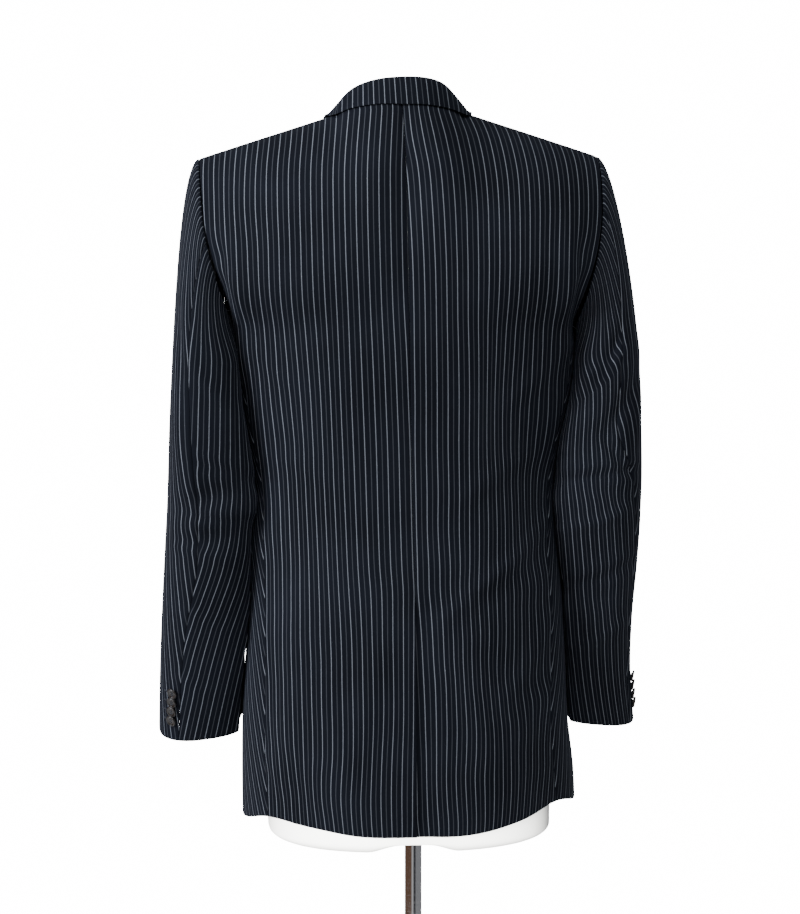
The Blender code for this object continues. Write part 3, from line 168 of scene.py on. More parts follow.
# how much further out the roll lies on each side at those stations
COLLAR_SPREAD = {LEFT: (0, 0.0010, 0.0032, 0.0060, 0.0045, 0.0038, 0.0028, 0, 0, 0, 0),
                 RIGHT: (0, 0.0005, 0.0030, 0.0022, 0.0025, 0.0030, 0.0025, 0, 0, 0, 0)}
COLLAR_LIFT, COLLAR_SHIFT = 2.8 * SEAM, 0.0012   # height over the body, sideways shift of its middle
# where its bright stripes cross it, from the middle of its back
COLLAR_GRAIN = np.array((-0.1124, -0.0624, -0.0523, -0.0418, -0.0312, -0.0200, -0.0087, 0.0029, 0.0142,
                         0.0257, 0.0372, 0.0476, 0.0592, 0.1092))
COLLAR_COUNT = np.array((-9.8, *range(-5, 7), 10.8))

FLAP_TOP_Z, FLAP_DROP, FLAP_LENGTH, FLAP_BACK_ARC, FLAP_WALL = 0.9590, 0.050, 0.150, 0.262, 0.0022
FRONT_BUTTON = (0.0102, 0.0040)              # radius and height
CUFF_BUTTON = (0.0064, 0.0026)
FRONT_BUTTON_Z = {"upper": 1.098, "lower": 0.990}
CUFF_BUTTON_Z = (0.0235, 0.0340, 0.0445, 0.0550)
CUFF_BUTTON_INSET, CUFF_BUTTON_TILT = {LEFT: 0.0085, RIGHT: 0.0120}, math.radians(12)

# sideways shift of the stripes on the backs in mm: a row for each height, a column for each half
# width; positive moves a stripe towards the centre seam
GRAIN_HALF = np.array((0.0, 0.035, 0.070, 0.105, 0.140, 0.175, 0.205))
GRAIN_Z = np.array((0.70, 0.725, 0.75, 0.775, 0.80, 0.825, 0.85, 0.875, 0.90, 0.925, 0.95, 0.975,
                    1.00, 1.04, 1.08, 1.13, 1.18, 1.23, 1.28, 1.34, 1.39, 1.43, 1.46, 1.49))
GRAIN = {LEFT: np.array((
    (5.5, 10.4, 16, 22.3, 28.2, 33.7, 37.7), (6.7, 8.9, 12.7, 19.3, 28.6, 32.3, 36.3),
    (6.9, 8.2, 11.4, 15.4, 27.6, 30.5, 34.5), (7.2, 8.6, 12.8, 14.4, 23.3, 33.7, 37.7),
    (7.5, 9.7, 14.3, 15.8, 19.6, 27.9, 31.9), (7.9, 11.2, 14.6, 16, 18.4, 22.7, 26.7),
    (8.2, 11.9, 14.1, 15.2, 17.6, 20.3, 23.5), (8.4, 11.8, 13.6, 14.8, 17.1, 18.4, 19),
    (8.9, 11.5, 13.5, 14.7, 16.1, 15.2, 15.7), (9.6, 11.2, 13.3, 14.1, 15.9, 13.7, 14.1),
    (10, 11.4, 12.4, 14.2, 16.5, 14.6, 14.4), (10.8, 11.3, 11.3, 14, 16.8, 16.5, 15.2),
    (10.3, 10, 10.4, 13.7, 17.4, 17.6, 14.3), (10.3, 9.7, 9.9, 13.2, 16.4, 11.5, 8.8),
    (10.5, 9.9, 9.5, 12.4, 15.5, 8, 5), (10.6, 9.8, 8.9, 12.1, 14.8, 7, 4),
    (9.6, 8.9, 7.9, 10.9, 11.3, 7, 3), (8.2, 7.5, 6.7, 8.1, 7.6, 5.5, 2),
    (6.2, 5.9, 5.7, 5.4, 5.2, 4.5, 2.5), (5.5, 4.4, 3.4, 3, 3.3, 3.9, 2.5),
    (5.7, 3.9, 2.5, 1.6, 0.9, 0.5, 2.5), (6.9, 5.1, 4.1, 3.2, 2.5, 2.6, 2.9),
    (9.6, 8.2, 8.1, 7.4, 7, 6.6, 5.6), (12.6, 12.5, 13.2, 12.5, 11.4, 10.1, 8.6))), RIGHT: np.array((
    (-4.5, 1, 8.9, 20.5, 35, 51.2, 68), (-1.2, 1.1, 6.9, 15.7, 32.5, 48.3, 64.2),
    (-0.5, 2.9, 7.3, 13, 29, 44.6, 59.6), (-0, 3.8, 8.3, 12.1, 24.3, 40.8, 52.7),
    (0.8, 3.2, 6.9, 11.9, 22.9, 34.4, 42.8), (2.2, 2.7, 6.8, 12.8, 18.8, 24.5, 32),
    (2.9, 3.1, 8.9, 16.5, 16.6, 18.1, 23.5), (3.9, 3.8, 11.9, 19.1, 22.9, 20.6, 19.2),
    (4.6, 5.5, 12.5, 18.2, 23.4, 19.5, 20), (5.6, 6, 11.6, 18.2, 24.5, 23.5, 24.2),
    (7, 6.7, 12, 17.8, 25.3, 28, 29.4), (8.5, 8.5, 13.5, 17, 24.1, 28.6, 33),
    (8.6, 8.2, 11.8, 17.6, 26.8, 29.8, 33.3), (8.4, 9, 10.2, 16.3, 29.1, 28.9, 28.2),
    (8.1, 7.6, 9.2, 16.2, 28.5, 23.2, 17.8), (7.9, 7.6, 8.9, 18.1, 21.6, 8.1, 4.7),
    (7.2, 7, 8, 18.1, 19.1, 11.7, 4.9), (7.5, 7.1, 8.3, 15.3, 17.1, 15.1, 9.7),
    (7.3, 7.3, 9.1, 12.3, 15, 14.6, 11.5), (7.7, 7.1, 7.2, 7.8, 10.1, 11.8, 10.3),
    (9.6, 8.5, 6.2, 5.4, 6, 6.2, 6.4), (11.7, 10.7, 7.7, 5.9, 5.3, 4.8, 4.3),
    (15.6, 14.6, 10.3, 8.4, 7.9, 6.6, 4.4), (16.2, 19.3, 15.9, 12.6, 9.8, 7.5, 5)))}

SIDE_LEAN, SIDE_LEAN_Z = 0.28, 1.30          # lean of the side bodies' stripes, height it starts from
# heights, and distances from the fronts' side seams of the line that their stripes are counted from
FRONT_GRAIN = ((0.72, 1.00, 1.26, 1.45), (0.245, 0.238, 0.232, 0.228))
# what the run is at a cut edge before the first stripe there
TOP_SLEEVE_START, LAPEL_START, FLAP_START = 0.0035, 0.004, 0.0046

# stitches: length and width on the edges, then spacing, length and width in the buttonholes
PICK = (0.0014, 0.0005)
FRONT_PURL, CUFF_PURL = (0.00055, 0.0026, 0.0006), (0.00055, 0.0022, 0.0006)
FRONT_HOLE, CUFF_HOLE = (-0.019, 0.003, 12), (0.0, 0.0145, 8)     # ends and points of a buttonhole

# form and stand
EASES = np.array(((0.690, 0.029), (0.800, 0.025), (0.900, 0.020), (1.000, 0.015), (1.080, 0.012),
                  (1.160, 0.013), (1.260, 0.012)))
REST_GAP, NECK_GAP = WALL + 0.0011, 0.0090
FORM_HEM_Z, FORM_BOTTOM_Z, NECK_TOP_Z, NECK_RADIUS = 0.695, 0.677, 1.508, 0.052
POLE_RADIUS, BASE_RADIUS, BASE_EDGE, BASE_DOME = 0.0097, 0.165, 0.006, 0.014
HUB_RADIUS, HUB_TOP_Z = 0.021, 0.052


# ---------------------------------------------------------------- small helpers
def track(rows, column):
    """Smooth function through one column of a table whose first column is the place."""
    rows = np.asarray(rows, float)
    xs, ys = rows[:, 0], rows[:, column]
    slopes = np.gradient(ys, xs)

    def value(at):
        at = np.clip(at, xs[0], xs[-1])
        i = np.clip(np.searchsorted(xs, at, side="right") - 1, 0, len(xs) - 2)
        step = xs[i + 1] - xs[i]
        return cubic(ys[i], ys[i + 1], slopes[i] * step, slopes[i + 1] * step, (at - xs[i]) / step)
    return value


def smooth(f):
    """Ease from 0 to 1 with no slope at either end."""
    f = np.clip(f, 0.0, 1.0)
    return f * f * (3 - 2 * f)


def unit(vectors):
    """Vectors at length 1."""
    return vectors / np.maximum(np.linalg.norm(vectors, axis=-1, keepdims=True), 1e-12)


def mix(a, b, f):
    """Straight run from a to b."""
    return a + (b - a) * f


def cubic(a, b, slope_a, slope_b, f):
    """Smooth run from a to b with the slopes given at both ends."""
    rise = f * f * (3 - 2 * f)
    return a * (1 + 2 * f) * (1 - f) ** 2 + slope_a * f * (1 - f) ** 2 + b * rise - slope_b * f * f * (1 - f)


def spline(points, samples):
    """Catmull-Rom curve through points, sampled at equal arc lengths from 0 to 1."""
    points = np.asarray(points, float)
    knots = np.concatenate([[0], np.cumsum(np.linalg.norm(np.diff(points, axis=0), axis=1))])
    fine = np.linspace(0, knots[-1], 400)
    table = np.column_stack([knots, points])
    curve = np.stack([track(table, k)(fine) for k in (1, 2, 3)], axis=-1)
    along = np.concatenate([[0], np.cumsum(np.linalg.norm(np.diff(curve, axis=0), axis=1))])
    return np.stack([np.interp(samples, along / along[-1], curve[:, k]) for k in range(3)], axis=-1)


half_width = {LEFT: track(RINGS, 1), RIGHT: track(RINGS, 2)}
squareness = track(RINGS, 3)
lean, back_depth, front_depth = (track(PROFILES, column) for column in (1, 2, 3))
back_seam = {LEFT: track(SEAMS, 1), RIGHT: track(SEAMS, 2)}
side_width = track(SEAMS, 3)
hem_height = {LEFT: track(HEM, 1), RIGHT: track(HEM, 2)}
ease = track(EASES, 1)
lapel_reach = track(LAPEL, 1)


# ---------------------------------------------------------------- creases laid one by one
# body creases: face, signed half width and height of both ends, bow, width, rise
BODY_CREASES = (
    ("back", -0.206, 1.330, -0.150, 1.235, 0.006, 0.0075, 0.0016),
    ("back", -0.196, 1.290, -0.120, 1.190, -0.008, 0.0090, 0.0013),
    ("back", 0.198, 1.335, 0.140, 1.215, -0.006, 0.0080, 0.0018),
    ("back", 0.186, 1.270, 0.100, 1.170, 0.008, 0.0100, 0.0013),
    ("back", -0.150, 1.120, -0.060, 1.075, 0.004, 0.0110, 0.0012),
    ("back", 0.150, 1.125, 0.050, 1.070, -0.005, 0.0110, 0.0014),
    ("back", 0.165, 1.060, 0.070, 0.975, 0.006, 0.0095, 0.0019),
    ("back", 0.120, 1.010, 0.020, 0.930, -0.006, 0.0100, 0.0016),
    ("back", 0.155, 0.960, 0.095, 0.850, 0.008, 0.0110, 0.0022),
    ("back", 0.060, 0.900, 0.130, 0.790, 0.006, 0.0130, 0.0018),
    ("back", -0.040, 0.930, -0.085, 0.760, 0.006, 0.0140, 0.0016),
    ("back", -0.100, 0.870, -0.060, 0.740, -0.006, 0.0130, 0.0013),
    ("back", -0.165, 0.800, -0.130, 0.725, 0.004, 0.0085, 0.0022),
    ("back", 0.010, 1.440, 0.090, 1.452, 0.004, 0.0080, -0.0010),
    ("back", -0.020, 1.442, -0.095, 1.450, -0.004, 0.0080, -0.0010),
    ("front", -0.150, 1.120, -0.050, 1.085, 0.004, 0.0100, 0.0014),
    ("front", 0.150, 1.115, 0.045, 1.080, -0.004, 0.0100, 0.0014),
    ("front", -0.120, 1.300, -0.165, 1.180, 0.005, 0.0110, 0.0015),
    ("front", 0.115, 1.290, 0.160, 1.175, -0.005, 0.0110, 0.0015),
    ("front", -0.070, 0.930, -0.110, 0.760, 0.006, 0.0150, 0.0014),
    ("front", 0.080, 0.920, 0.115, 0.770, -0.006, 0.0150, 0.0014),
)
# sleeve creases: side, way round in metres and height of both ends, bow, width, rise
SLEEVE_CREASES = (
    (LEFT, 0.055, 1.115, 0.125, 1.080, 0.004, 0.0060, -0.0018),
    (LEFT, 0.045, 1.060, 0.120, 1.045, -0.004, 0.0055, -0.0016),
    (LEFT, 0.030, 1.020, 0.100, 1.000, 0.003, 0.0060, 0.0014),
    (LEFT, 0.065, 1.210, 0.110, 1.150, 0.004, 0.0070, 0.0015),
    (LEFT, 0.020, 1.300, 0.050, 1.200, 0.003, 0.0080, -0.0012),
    (LEFT, 0.050, 0.950, 0.110, 0.905, 0.003, 0.0070, 0.0014),
    (LEFT, 0.040, 0.880, 0.085, 0.845, -0.003, 0.0070, 0.0010),
    (LEFT, 0.190, 1.060, 0.260, 1.040, 0.003, 0.0070, -0.0018),
    (LEFT, 0.200, 1.120, 0.265, 1.150, 0.003, 0.0080, 0.0014),
    (RIGHT, 0.060, 1.262, 0.104, 1.160, 0.003, 0.0060, -0.0026),
    (RIGHT, 0.082, 1.142, 0.040, 1.090, 0.002, 0.0055, -0.0024),
    (RIGHT, 0.030, 1.250, 0.040, 1.130, -0.003, 0.0070, 0.0018),
    (RIGHT, 0.050, 1.240, 0.110, 1.200, -0.003, 0.0070, 0.0014),
    (RIGHT, 0.030, 1.100, 0.115, 1.085, 0.004, 0.0060, -0.0018),
    (RIGHT, 0.045, 1.060, 0.120, 1.030, -0.003, 0.0060, 0.0015),
    (RIGHT, 0.025, 1.000, 0.105, 0.965, 0.003, 0.0065, -0.0015),
    (RIGHT, 0.040, 0.930, 0.100, 0.890, 0.003, 0.0075, 0.0013),
    (RIGHT, 0.190, 1.065, 0.260, 1.045, 0.003, 0.0070, -0.0018),
    (RIGHT, 0.200, 1.130, 0.265, 1.155, 0.003, 0.0080, 0.0014),
)


def ridge(a, z, a0, z0, a1, z1, bow, width):
    """Soft line between two ends, bowed sideways and dying away at both, 1 on its crest."""
    length = math.hypot(a1 - a0, z1 - z0)
    da, dz = (a1 - a0) / length, (z1 - z0) / length
    along = ((a - a0) * da + (z - z0) * dz) / length
    off = (z - z0) * da - (a - a0) * dz - bow * 4 * along * (1 - along)
    crest = np.exp(-(off / width) ** 2) - 0.45 * np.exp(-((off - 1.9 * width) / (1.3 * width)) ** 2)
    return crest * smooth((along + 0.12) / 0.35) * smooth((1.12 - along) / 0.35)


def drift(a, z, seed):
    """Slow unevenness of hanging cloth, between about -1 and 1."""
    random = np.random.default_rng(seed)
    total = 0
    for _ in range(7):
        across, up = random.uniform(-48, 48), random.uniform(-26, 26)
        total = total + np.sin(a * across + z * up + random.uniform(0, 6.28))
    return total / 4.2


# ---------------------------------------------------------------- torso surface
def squared_ring(turn, half, back, front, square):
    """Rounded-square outline; turn runs 0 centre back, 1 side, 2 centre front."""
    q = np.where(turn < 1, turn, 2 - turn)
    e = square / 2
    g = q ** e / (q ** e + (1 - q) ** e) * math.pi / 2
    x = half * np.sin(g) ** (1 / e)
    y = np.where(turn < 1, -back, front) * np.maximum(np.cos(g), 0) ** (1 / e)
    return x, y


def half_ring(side, z, count=97):
    """Points of the half outline at each z, with their arc lengths from the centre back."""
    z = np.asarray(z, float)[..., None]
    turn = np.linspace(0, 2, count)
    x, y = squared_ring(turn, half_width[side](z), back_depth(z), front_depth(z), squareness(z))
    steps = np.hypot(np.diff(x), np.diff(y))
    arc = np.concatenate([np.zeros(steps.shape[:-1] + (1,)), np.cumsum(steps, axis=-1)], axis=-1)
    return x, y, arc


LEVELS = np.linspace(0.66, 1.30, 641)
HALF_GIRTH = {side: half_ring(side, LEVELS)[2][:, -1] for side in SIDES}


def girth(side, z):
    """Half girth from the centre back to the centre front."""
    return np.interp(z, LEVELS, HALF_GIRTH[side])


def ring(side, arc, z):
    """Torso point at an arc length from the centre back; it may run on past either centre."""
    arc, z = np.broadcast_arrays(np.asarray(arc, float), np.asarray(z, float))
    result = np.empty(arc.shape + (3,))
    whole, other = girth(side, z), girth(-side, z)
    across_back, across_front = arc < 0, arc > whole
    across = across_back | across_front
    folded = np.where(across_back, -arc, np.where(across_front, other + whole - arc, arc))
    for own, chosen in ((side, ~across), (-side, across)):
        if not chosen.any():
            continue
        x, y, arcs = half_ring(own, z[chosen])
        at = folded[chosen]
        i = np.clip((arcs < at[:, None]).sum(axis=1) - 1, 0, arcs.shape[1] - 2)
        row = np.arange(len(i))
        f = (at - arcs[row, i]) / (arcs[row, i + 1] - arcs[row, i])
        result[chosen, 0] = own * mix(x[row, i], x[row, i + 1], f)
        result[chosen, 1] = mix(y[row, i], y[row, i + 1], f)
    result[..., 0] += lean(z)
    result[..., 2] = z
    return result


def placed(row, side):
    """World point of an armhole or neck row on one side; the right shoulder sits higher."""
    half, y, z = row
    return np.array([lean(z) + side * half, y, z + side * SHOULDER_TILT * smooth((z - 1.30) / 0.12)])


def armhole_corners(side):
    """Back and front ends of the side body's scooped top edge."""
    back = float(back_seam[side](ARMPIT_Z))
    return back, back + float(side_width(ARMPIT_Z))


def armhole_edge(side, face, w):
    """Armhole edge of the back or front, w from the underarm (0) to the shoulder tip (1)."""
    ends = [ring(side, arc, ARMPIT_Z) for arc in armhole_corners(side)]
    back = [ends[0]] + [placed(row, side) for row in ARMHOLE_BACK]
    front = [placed(row, side) for row in ARMHOLE_FRONT] + [ends[1]]
    points = np.array(back + [placed(SHOULDER_TIP, side)] + front)
    knots = np.concatenate([[0], np.cumsum(np.linalg.norm(np.diff(points, axis=0), axis=1))])
    share = knots[len(back)] / knots[-1]
    w = np.asarray(w, float)
    return spline(points, w * share if face == "back" else 1 - w * (1 - share))


def top_edge(side, face, u):
    """Neck curve then shoulder seam, u from the centre line (0) to the shoulder tip (1)."""
    u = np.asarray(u, float)
    neck, tip = placed(NECK_POINT, side), placed(SHOULDER_TIP, side)
    z_mid = NECK_Z if face == "back" else FRONT_NECK_Z
    y_mid = -back_depth(NECK_Z) if face == "back" else front_depth(FRONT_NECK_Z)
    centre = np.array([lean(z_mid), y_mid, z_mid])
    f = np.clip(u / NECK_SHARE, 0, 1)[..., None]
    angle = f * math.pi / 2
    round_neck = np.concatenate([
        centre[0] + (neck[0] - centre[0]) * np.sin(angle),
        neck[1] + (centre[1] - neck[1]) * np.cos(angle),
        mix(centre[2], neck[2], smooth(f))], axis=-1)
    along = np.clip((u - NECK_SHARE) / (1 - NECK_SHARE), 0, 1)[..., None]
    return np.where(u[..., None] < NECK_SHARE, round_neck, mix(neck, tip, along))


def soft_top(side, face, u):
    """The top edge with its corner at the neck point rounded away, for the cloth below it."""
    u = np.asarray(u, float)
    total = np.zeros(u.shape + (3,))
    step = top_edge(side, face, 1.0) - top_edge(side, face, 0.9)
    shifts = np.linspace(-0.30, 0.30, 13)
    weights = np.cos(shifts / 0.30 * math.pi / 2) ** 2
    for shift, weight in zip(shifts, weights / weights.sum()):
        at = u + shift
        point = top_edge(side, face, np.clip(np.abs(at), 0, 1))
        mirrored = 2 * lean(point[..., 2]) - point[..., 0]
        point[..., 0] = np.where(at < 0, mirrored, point[..., 0])
        total += weight * (point + np.maximum(at - 1, 0)[..., None] * step * 10)
    return total


def upper(side, face, u, w):
    """Patch above the armpit: u from the centre line to the armhole, w up to neck and shoulder."""
    u, w = np.broadcast_arrays(np.asarray(u, float), np.asarray(w, float))
    arcs = armhole_corners(side)
    whole = girth(side, ARMPIT_Z)
    if face == "back":
        low, z_mid, depth, sign = u * arcs[0], NECK_Z, back_depth, -1
    else:
        low, z_mid, depth, sign = whole - u * (whole - arcs[1]), FRONT_NECK_Z, front_depth, 1
    bottom = ring(side, low, ARMPIT_Z)
    z = mix(ARMPIT_Z, z_mid, w)
    centre = np.stack([lean(z), sign * depth(z), z], axis=-1)
    edge = armhole_edge(side, face, w)
    sharp, top = top_edge(side, face, u), soft_top(side, face, u)
    blend, uu = smooth(w)[..., None], u[..., None]
    low_centre = ring(side, 0.0 if face == "back" else whole, ARMPIT_Z)
    low_edge = armhole_edge(side, face, 0.0)
    high_centre, high_edge = top_edge(side, face, 0.0), top_edge(side, face, 1.0)
    top = top + mix(high_centre - soft_top(side, face, 0.0), high_edge - soft_top(side, face, 1.0), uu)
    corners = mix(mix(low_centre, high_centre, blend), mix(low_edge, high_edge, blend), uu)
    points = mix(centre, edge, uu) + mix(bottom, top, blend) - corners
    points = points + (sharp - top) * (w ** NECK_FADE[face])[..., None]
    pad = SHOULDER_CROWN * np.sin(math.pi * np.clip((u - 0.35) / 0.65, 0, 1)) * w * w * (1 - w) * 4
    round_off = np.sin(math.pi * u) * (1 + 0.35 * np.cos(math.pi * u))
    full = FULLNESS[face] * round_off * 4 * w * w * np.maximum(1 - w, 0) ** 0.6
    points[..., 2] += pad
    points[..., 1] += sign * (0.6 * pad + full)
    return points


def fold_rise(face, points, fine=True):
    """Outward displacement of the folds and creases at points of one face."""
    total = np.zeros(points.shape[:-1])
    across = points[..., 0] - lean(points[..., 2])
    z = points[..., 2]
    for where, side, half_top, z_top, half_low, z_low, width, rise in FOLDS:
        if where == face:
            f = (z_top - z) / (z_top - z_low)
            line = side * mix(half_top, half_low, f)
            fade = smooth(f / 0.25) * smooth((1 - f) / 0.25)
            total += rise * fade * np.exp(-((across - line) / width) ** 2)
    if fine:
        for where, a0, z0, a1, z1, bow, width, rise in BODY_CREASES:
            if where == face:
                total += rise * ridge(across, z, a0, z0, a1, z1, bow, width)
        calm = smooth((1.40 - z) / 0.12)
        total += 0.0007 * calm * drift(across, z, 11 if face == "back" else 12)
    return total


def vent_lap(side, arc, z):
    """How far a right-hand edge dives under the left: back vent, then front overlap."""
    if side == LEFT:
        return np.zeros(np.broadcast(arc, z).shape)
    step = WALL + 3.5 * SEAM
    vent = smooth((VENT_TOP_Z - z) / 0.030) * smooth((0.034 - arc) / 0.026)
    to_front = girth(side, z) - arc
    front = smooth((0.050 - to_front) / 0.026) * smooth((1.245 - z) / 0.03)
    return step * (vent + front)


def lower_surface(side, arc, z):
    """Torso point below the armpit with its folds and laps, and its outward normal."""
    arc, z = np.broadcast_arrays(np.asarray(arc, float), np.asarray(z, float))
    small = 0.002
    point = ring(side, arc, z)
    across = ring(side, arc + small, z) - ring(side, arc - small, z)
    upward = ring(side, arc, z + small) - ring(side, arc, z - small)
    normal = np.cross(across, upward) * side
    normal[np.abs(arc) < 2 * small, 0] = 0
    normal = unit(normal)
    rise = np.where(point[..., 1] < 0, fold_rise("back", point), fold_rise("front", point))
    rise = rise * smooth(np.abs(point[..., 1]) / 0.03)
    return point + normal * (rise - vent_lap(side, arc, z))[..., None], normal


def upper_surface(side, face, u, w, fine=True):
    """Torso point above the armpit with its folds, and its outward normal."""
    u, w = np.broadcast_arrays(np.asarray(u, float), np.asarray(w, float))
    small = 0.004
    point = upper(side, face, u, w)
    across = upper(side, face, np.minimum(u + small, 1), w) - upper(side, face, np.maximum(u - small, 0), w)
    upward = upper(side, face, u, np.minimum(w + small, 1)) - upper(side, face, u, np.maximum(w - small, 0))
    normal = np.cross(across, upward) * side * (1 if face == "back" else -1)
    normal[u < small, 0] = 0
    normal = unit(normal)
    ridge_line = unit(placed(SHOULDER_TIP, side) - placed(NECK_POINT, side))
    over = unit(np.array([0, 0, 1.0]) - ridge_line[2] * ridge_line)
    on_ridge = smooth((w - 0.80) / 0.20) * smooth((u - NECK_SHARE + 0.08) / 0.08)
    normal = unit(mix(normal, over, on_ridge[..., None]))
    return point + normal * fold_rise(face, point, fine)[..., None], normal


def lay(side, face, half, z):
    """Surface points and normals of one face at front-view places (half width, height)."""
    half, z = np.broadcast_arrays(np.asarray(half, float), np.asarray(z, float))
    point, normal = np.empty(half.shape + (3,)), np.empty(half.shape + (3,))
    low = z < ARMPIT_Z - 0.004
    if low.any():
        h, level = half[low], z[low]
        whole = girth(side, level)
        near, far = (np.zeros_like(h), whole / 2) if face == "back" else (whole + 0.06, whole / 2)
        for _ in range(26):
            middle = (near + far) / 2
            inside = side * (ring(side, middle, level)[:, 0] - lean(level)) < h
            near, far = np.where(inside, middle, near), np.where(inside, far, middle)
        point[low], normal[low] = lower_surface(side, (near + far) / 2, level)
    if (~low).any():
        h, level = half[~low], z[~low]
        u, w = h / 0.2, (level - ARMPIT_Z) / (1.45 - ARMPIT_Z)
        step = 0.003
        for _ in range(12):
            here = upper(side, face, u, w)
            du = (upper(side, face, u + step, w) - here) / step
            dw = (upper(side, face, u, w + step) - here) / step
            a, b, c, d = side * du[:, 0], side * dw[:, 0], du[:, 2], dw[:, 2]
            miss_x, miss_z = side * (here[:, 0] - lean(level)) - h, here[:, 2] - level
            span = a * d - b * c
            u = np.clip(u - np.clip((d * miss_x - b * miss_z) / span, -0.2, 0.2), 0, 1)
            w = np.clip(w - np.clip((a * miss_z - c * miss_x) / span, -0.2, 0.2), 0, 1)
        point[~low], normal[~low] = upper_surface(side, face, u, w)
    return point, normal


# ---------------------------------------------------------------- meshes
EDGE_STEPS = np.array((0.0005, 0.0013, 0.0027))


def spread(length, step, first=True, last=True):
    """Shares from 0 to 1 along a length, closer together beside the cut edges."""
    low = np.concatenate([[0], EDGE_STEPS]) if first else np.zeros(1)
    high = length - (np.concatenate([[0], EDGE_STEPS]) if last else np.zeros(1))[::-1]
    start, end = low[-1] + 0.002, high[0] - 0.002
    return np.concatenate([low, np.linspace(start, end, max(3, round((end - start) / step))), high]) / length


def runs(points, axis):
    """Lengths along one direction of a grid, from its first row or column."""
    steps = np.linalg.norm(np.diff(points, axis=axis), axis=-1)
    zero = np.zeros_like(np.take(steps, [0], axis=axis))
    return np.concatenate([zero, np.cumsum(steps, axis=axis)], axis=axis)


def edge_distance(points, keep=None):
    """Distance of each grid point from the nearest cut edge."""
    across, up = runs(points, 1), runs(points, 0)
    if keep is not None:
        first = np.argmax(keep, axis=1)
        first = np.concatenate([first, first[-1:]])
        across = np.maximum(across - across[np.arange(len(across)), first][:, None], 0)
    return np.minimum(np.minimum(across, across[:, -1:] - across), np.minimum(up, up[-1:] - up))


def linked(name, data):
    """Object of some data, in the scene's own collection."""
    thing = bpy.data.objects.new(name, data)
    bpy.context.scene.collection.objects.link(thing)
    return thing


def evaluated_mesh(thing):
    """Plain mesh of an object with its modifiers applied."""
    bpy.context.view_layer.update()
    return bpy.data.meshes.new_from_object(thing.evaluated_get(bpy.context.evaluated_depsgraph_get()))


def rings_of_quads(rows, count):
    """Faces between rings of count points each."""
    return [[i * count + k, i * count + (k + 1) % count, (i + 1) * count + (k + 1) % count,
             (i + 1) * count + k] for i in range(rows - 1) for k in range(count)]


def add_piece(name, vertices, faces, materials, uv=None, face_material=None, sharp=50):
    """One mesh object from arrays, smooth but for its sharp edges."""
    mesh = bpy.data.meshes.new(name)
    mesh.from_pydata(np.asarray(vertices, float).tolist(), [], faces)
    if uv is not None:
        order = np.empty(len(mesh.loops), np.int32)
        mesh.loops.foreach_get("vertex_index", order)
        layer = mesh.uv_layers.new(name="cloth")
        layer.data.foreach_set("uv", np.asarray(uv, np.float32)[order].ravel())
    for material in materials:
        mesh.materials.append(material)
    if face_material is not None:
        mesh.polygons.foreach_set("material_index", np.asarray(face_material, np.int32))
    mesh.shade_smooth()
    mesh.set_sharp_from_angle(angle=math.radians(sharp))
    return linked(name, mesh)


def sewn(name, point, normal, across, materials, keep=None, thick=WALL, dip=0.0008, reach=0.0038,
         facing_width=0.024):
    """Closed cloth wall: a grid of outer points with rolled edges, lined inside its facings.

    across is the stripe coordinate of every grid point, in metres; keep says which cells are cloth.
    """
    rows, columns = point.shape[:2]
    if keep is None:
        keep = np.ones((rows - 1, columns - 1), bool)
    near = edge_distance(point, keep)
    roll = np.clip(1 - near / reach, 0, 1)
    outer = point - normal * (dip * roll ** 2)[..., None]
    inner = point - normal * thick
    number = np.arange(rows * columns).reshape(rows, columns)
    cell = np.stack([number[:-1, :-1], number[:-1, 1:], number[1:, 1:], number[1:, :-1]], axis=-1)
    quads = cell[keep]
    a, b, c, _ = (outer.reshape(-1, 3)[quads[:, k]] for k in range(4))
    facing = (np.cross(b - a, c - b) * normal.reshape(-1, 3)[quads[:, 0]]).sum()
    if facing < 0:
        quads = quads[:, ::-1]
    count = rows * columns
    edges = np.concatenate([quads[:, [k, (k + 1) % 4]] for k in range(4)])
    known = set(map(tuple, edges.tolist()))
    rim = [(q, p, p + count, q + count) for p, q in known if (q, p) not in known]
    rim.sort()
    faces = quads.tolist() + (quads[:, ::-1] + count).tolist() + [list(face) for face in rim]
    lined = near[:-1, :-1][keep] > facing_width
    kinds = np.concatenate([np.zeros(len(quads)), lined, np.zeros(len(rim))])
    along = runs(point, 0)
    uv = np.stack([across, along], axis=-1).reshape(-1, 2)
    used = np.zeros(2 * count, bool)
    used[np.unique(np.concatenate([quads.ravel(), quads.ravel() + count]))] = True
    index = np.cumsum(used) - 1
    faces = [[int(index[v]) for v in face] for face in faces]
    vertices = np.concatenate([outer.reshape(-1, 3), inner.reshape(-1, 3)])[used]
    return add_piece(name, vertices, faces, materials, np.concatenate([uv, uv])[used], kinds)


def eased_rows(points, middle, width=7, passes=14):
    """Soften a grid along its columns about one row, where two surfaces meet."""
    low, high = middle - width, middle + width
    for _ in range(passes):
        band = points[low:high + 1].copy()
        band[1:-1] = (band[:-2] + 2 * band[1:-1] + band[2:]) / 4
        points[low:high + 1] = band
    return points


def panel(side, arcs, zs, step, face=None, us=None):
    """Outer points and normals of a panel from its lower arcs and its upper patch columns."""
    point, normal = lower_surface(side, arcs, zs)
    if face is None:
        return point, normal
    w = spread(0.24, step, first=False)[1:, None]
    above, above_normal = upper_surface(side, face, us(w), w)
    above[-1] -= unit(above[-1] - above[-2]) * SEAM
    middle = len(point) - 1
    point = eased_rows(np.concatenate([point, above]), middle)
    normal = unit(eased_rows(np.concatenate([normal, above_normal]), middle))
    return point, normal


def level_run(point, first=0):
    """Level distance along each row of a grid from one of its columns."""
    flat = point.copy()
    flat[..., 2] = 0
    run = runs(flat, 1)
    return run - run[:, first:first + 1]


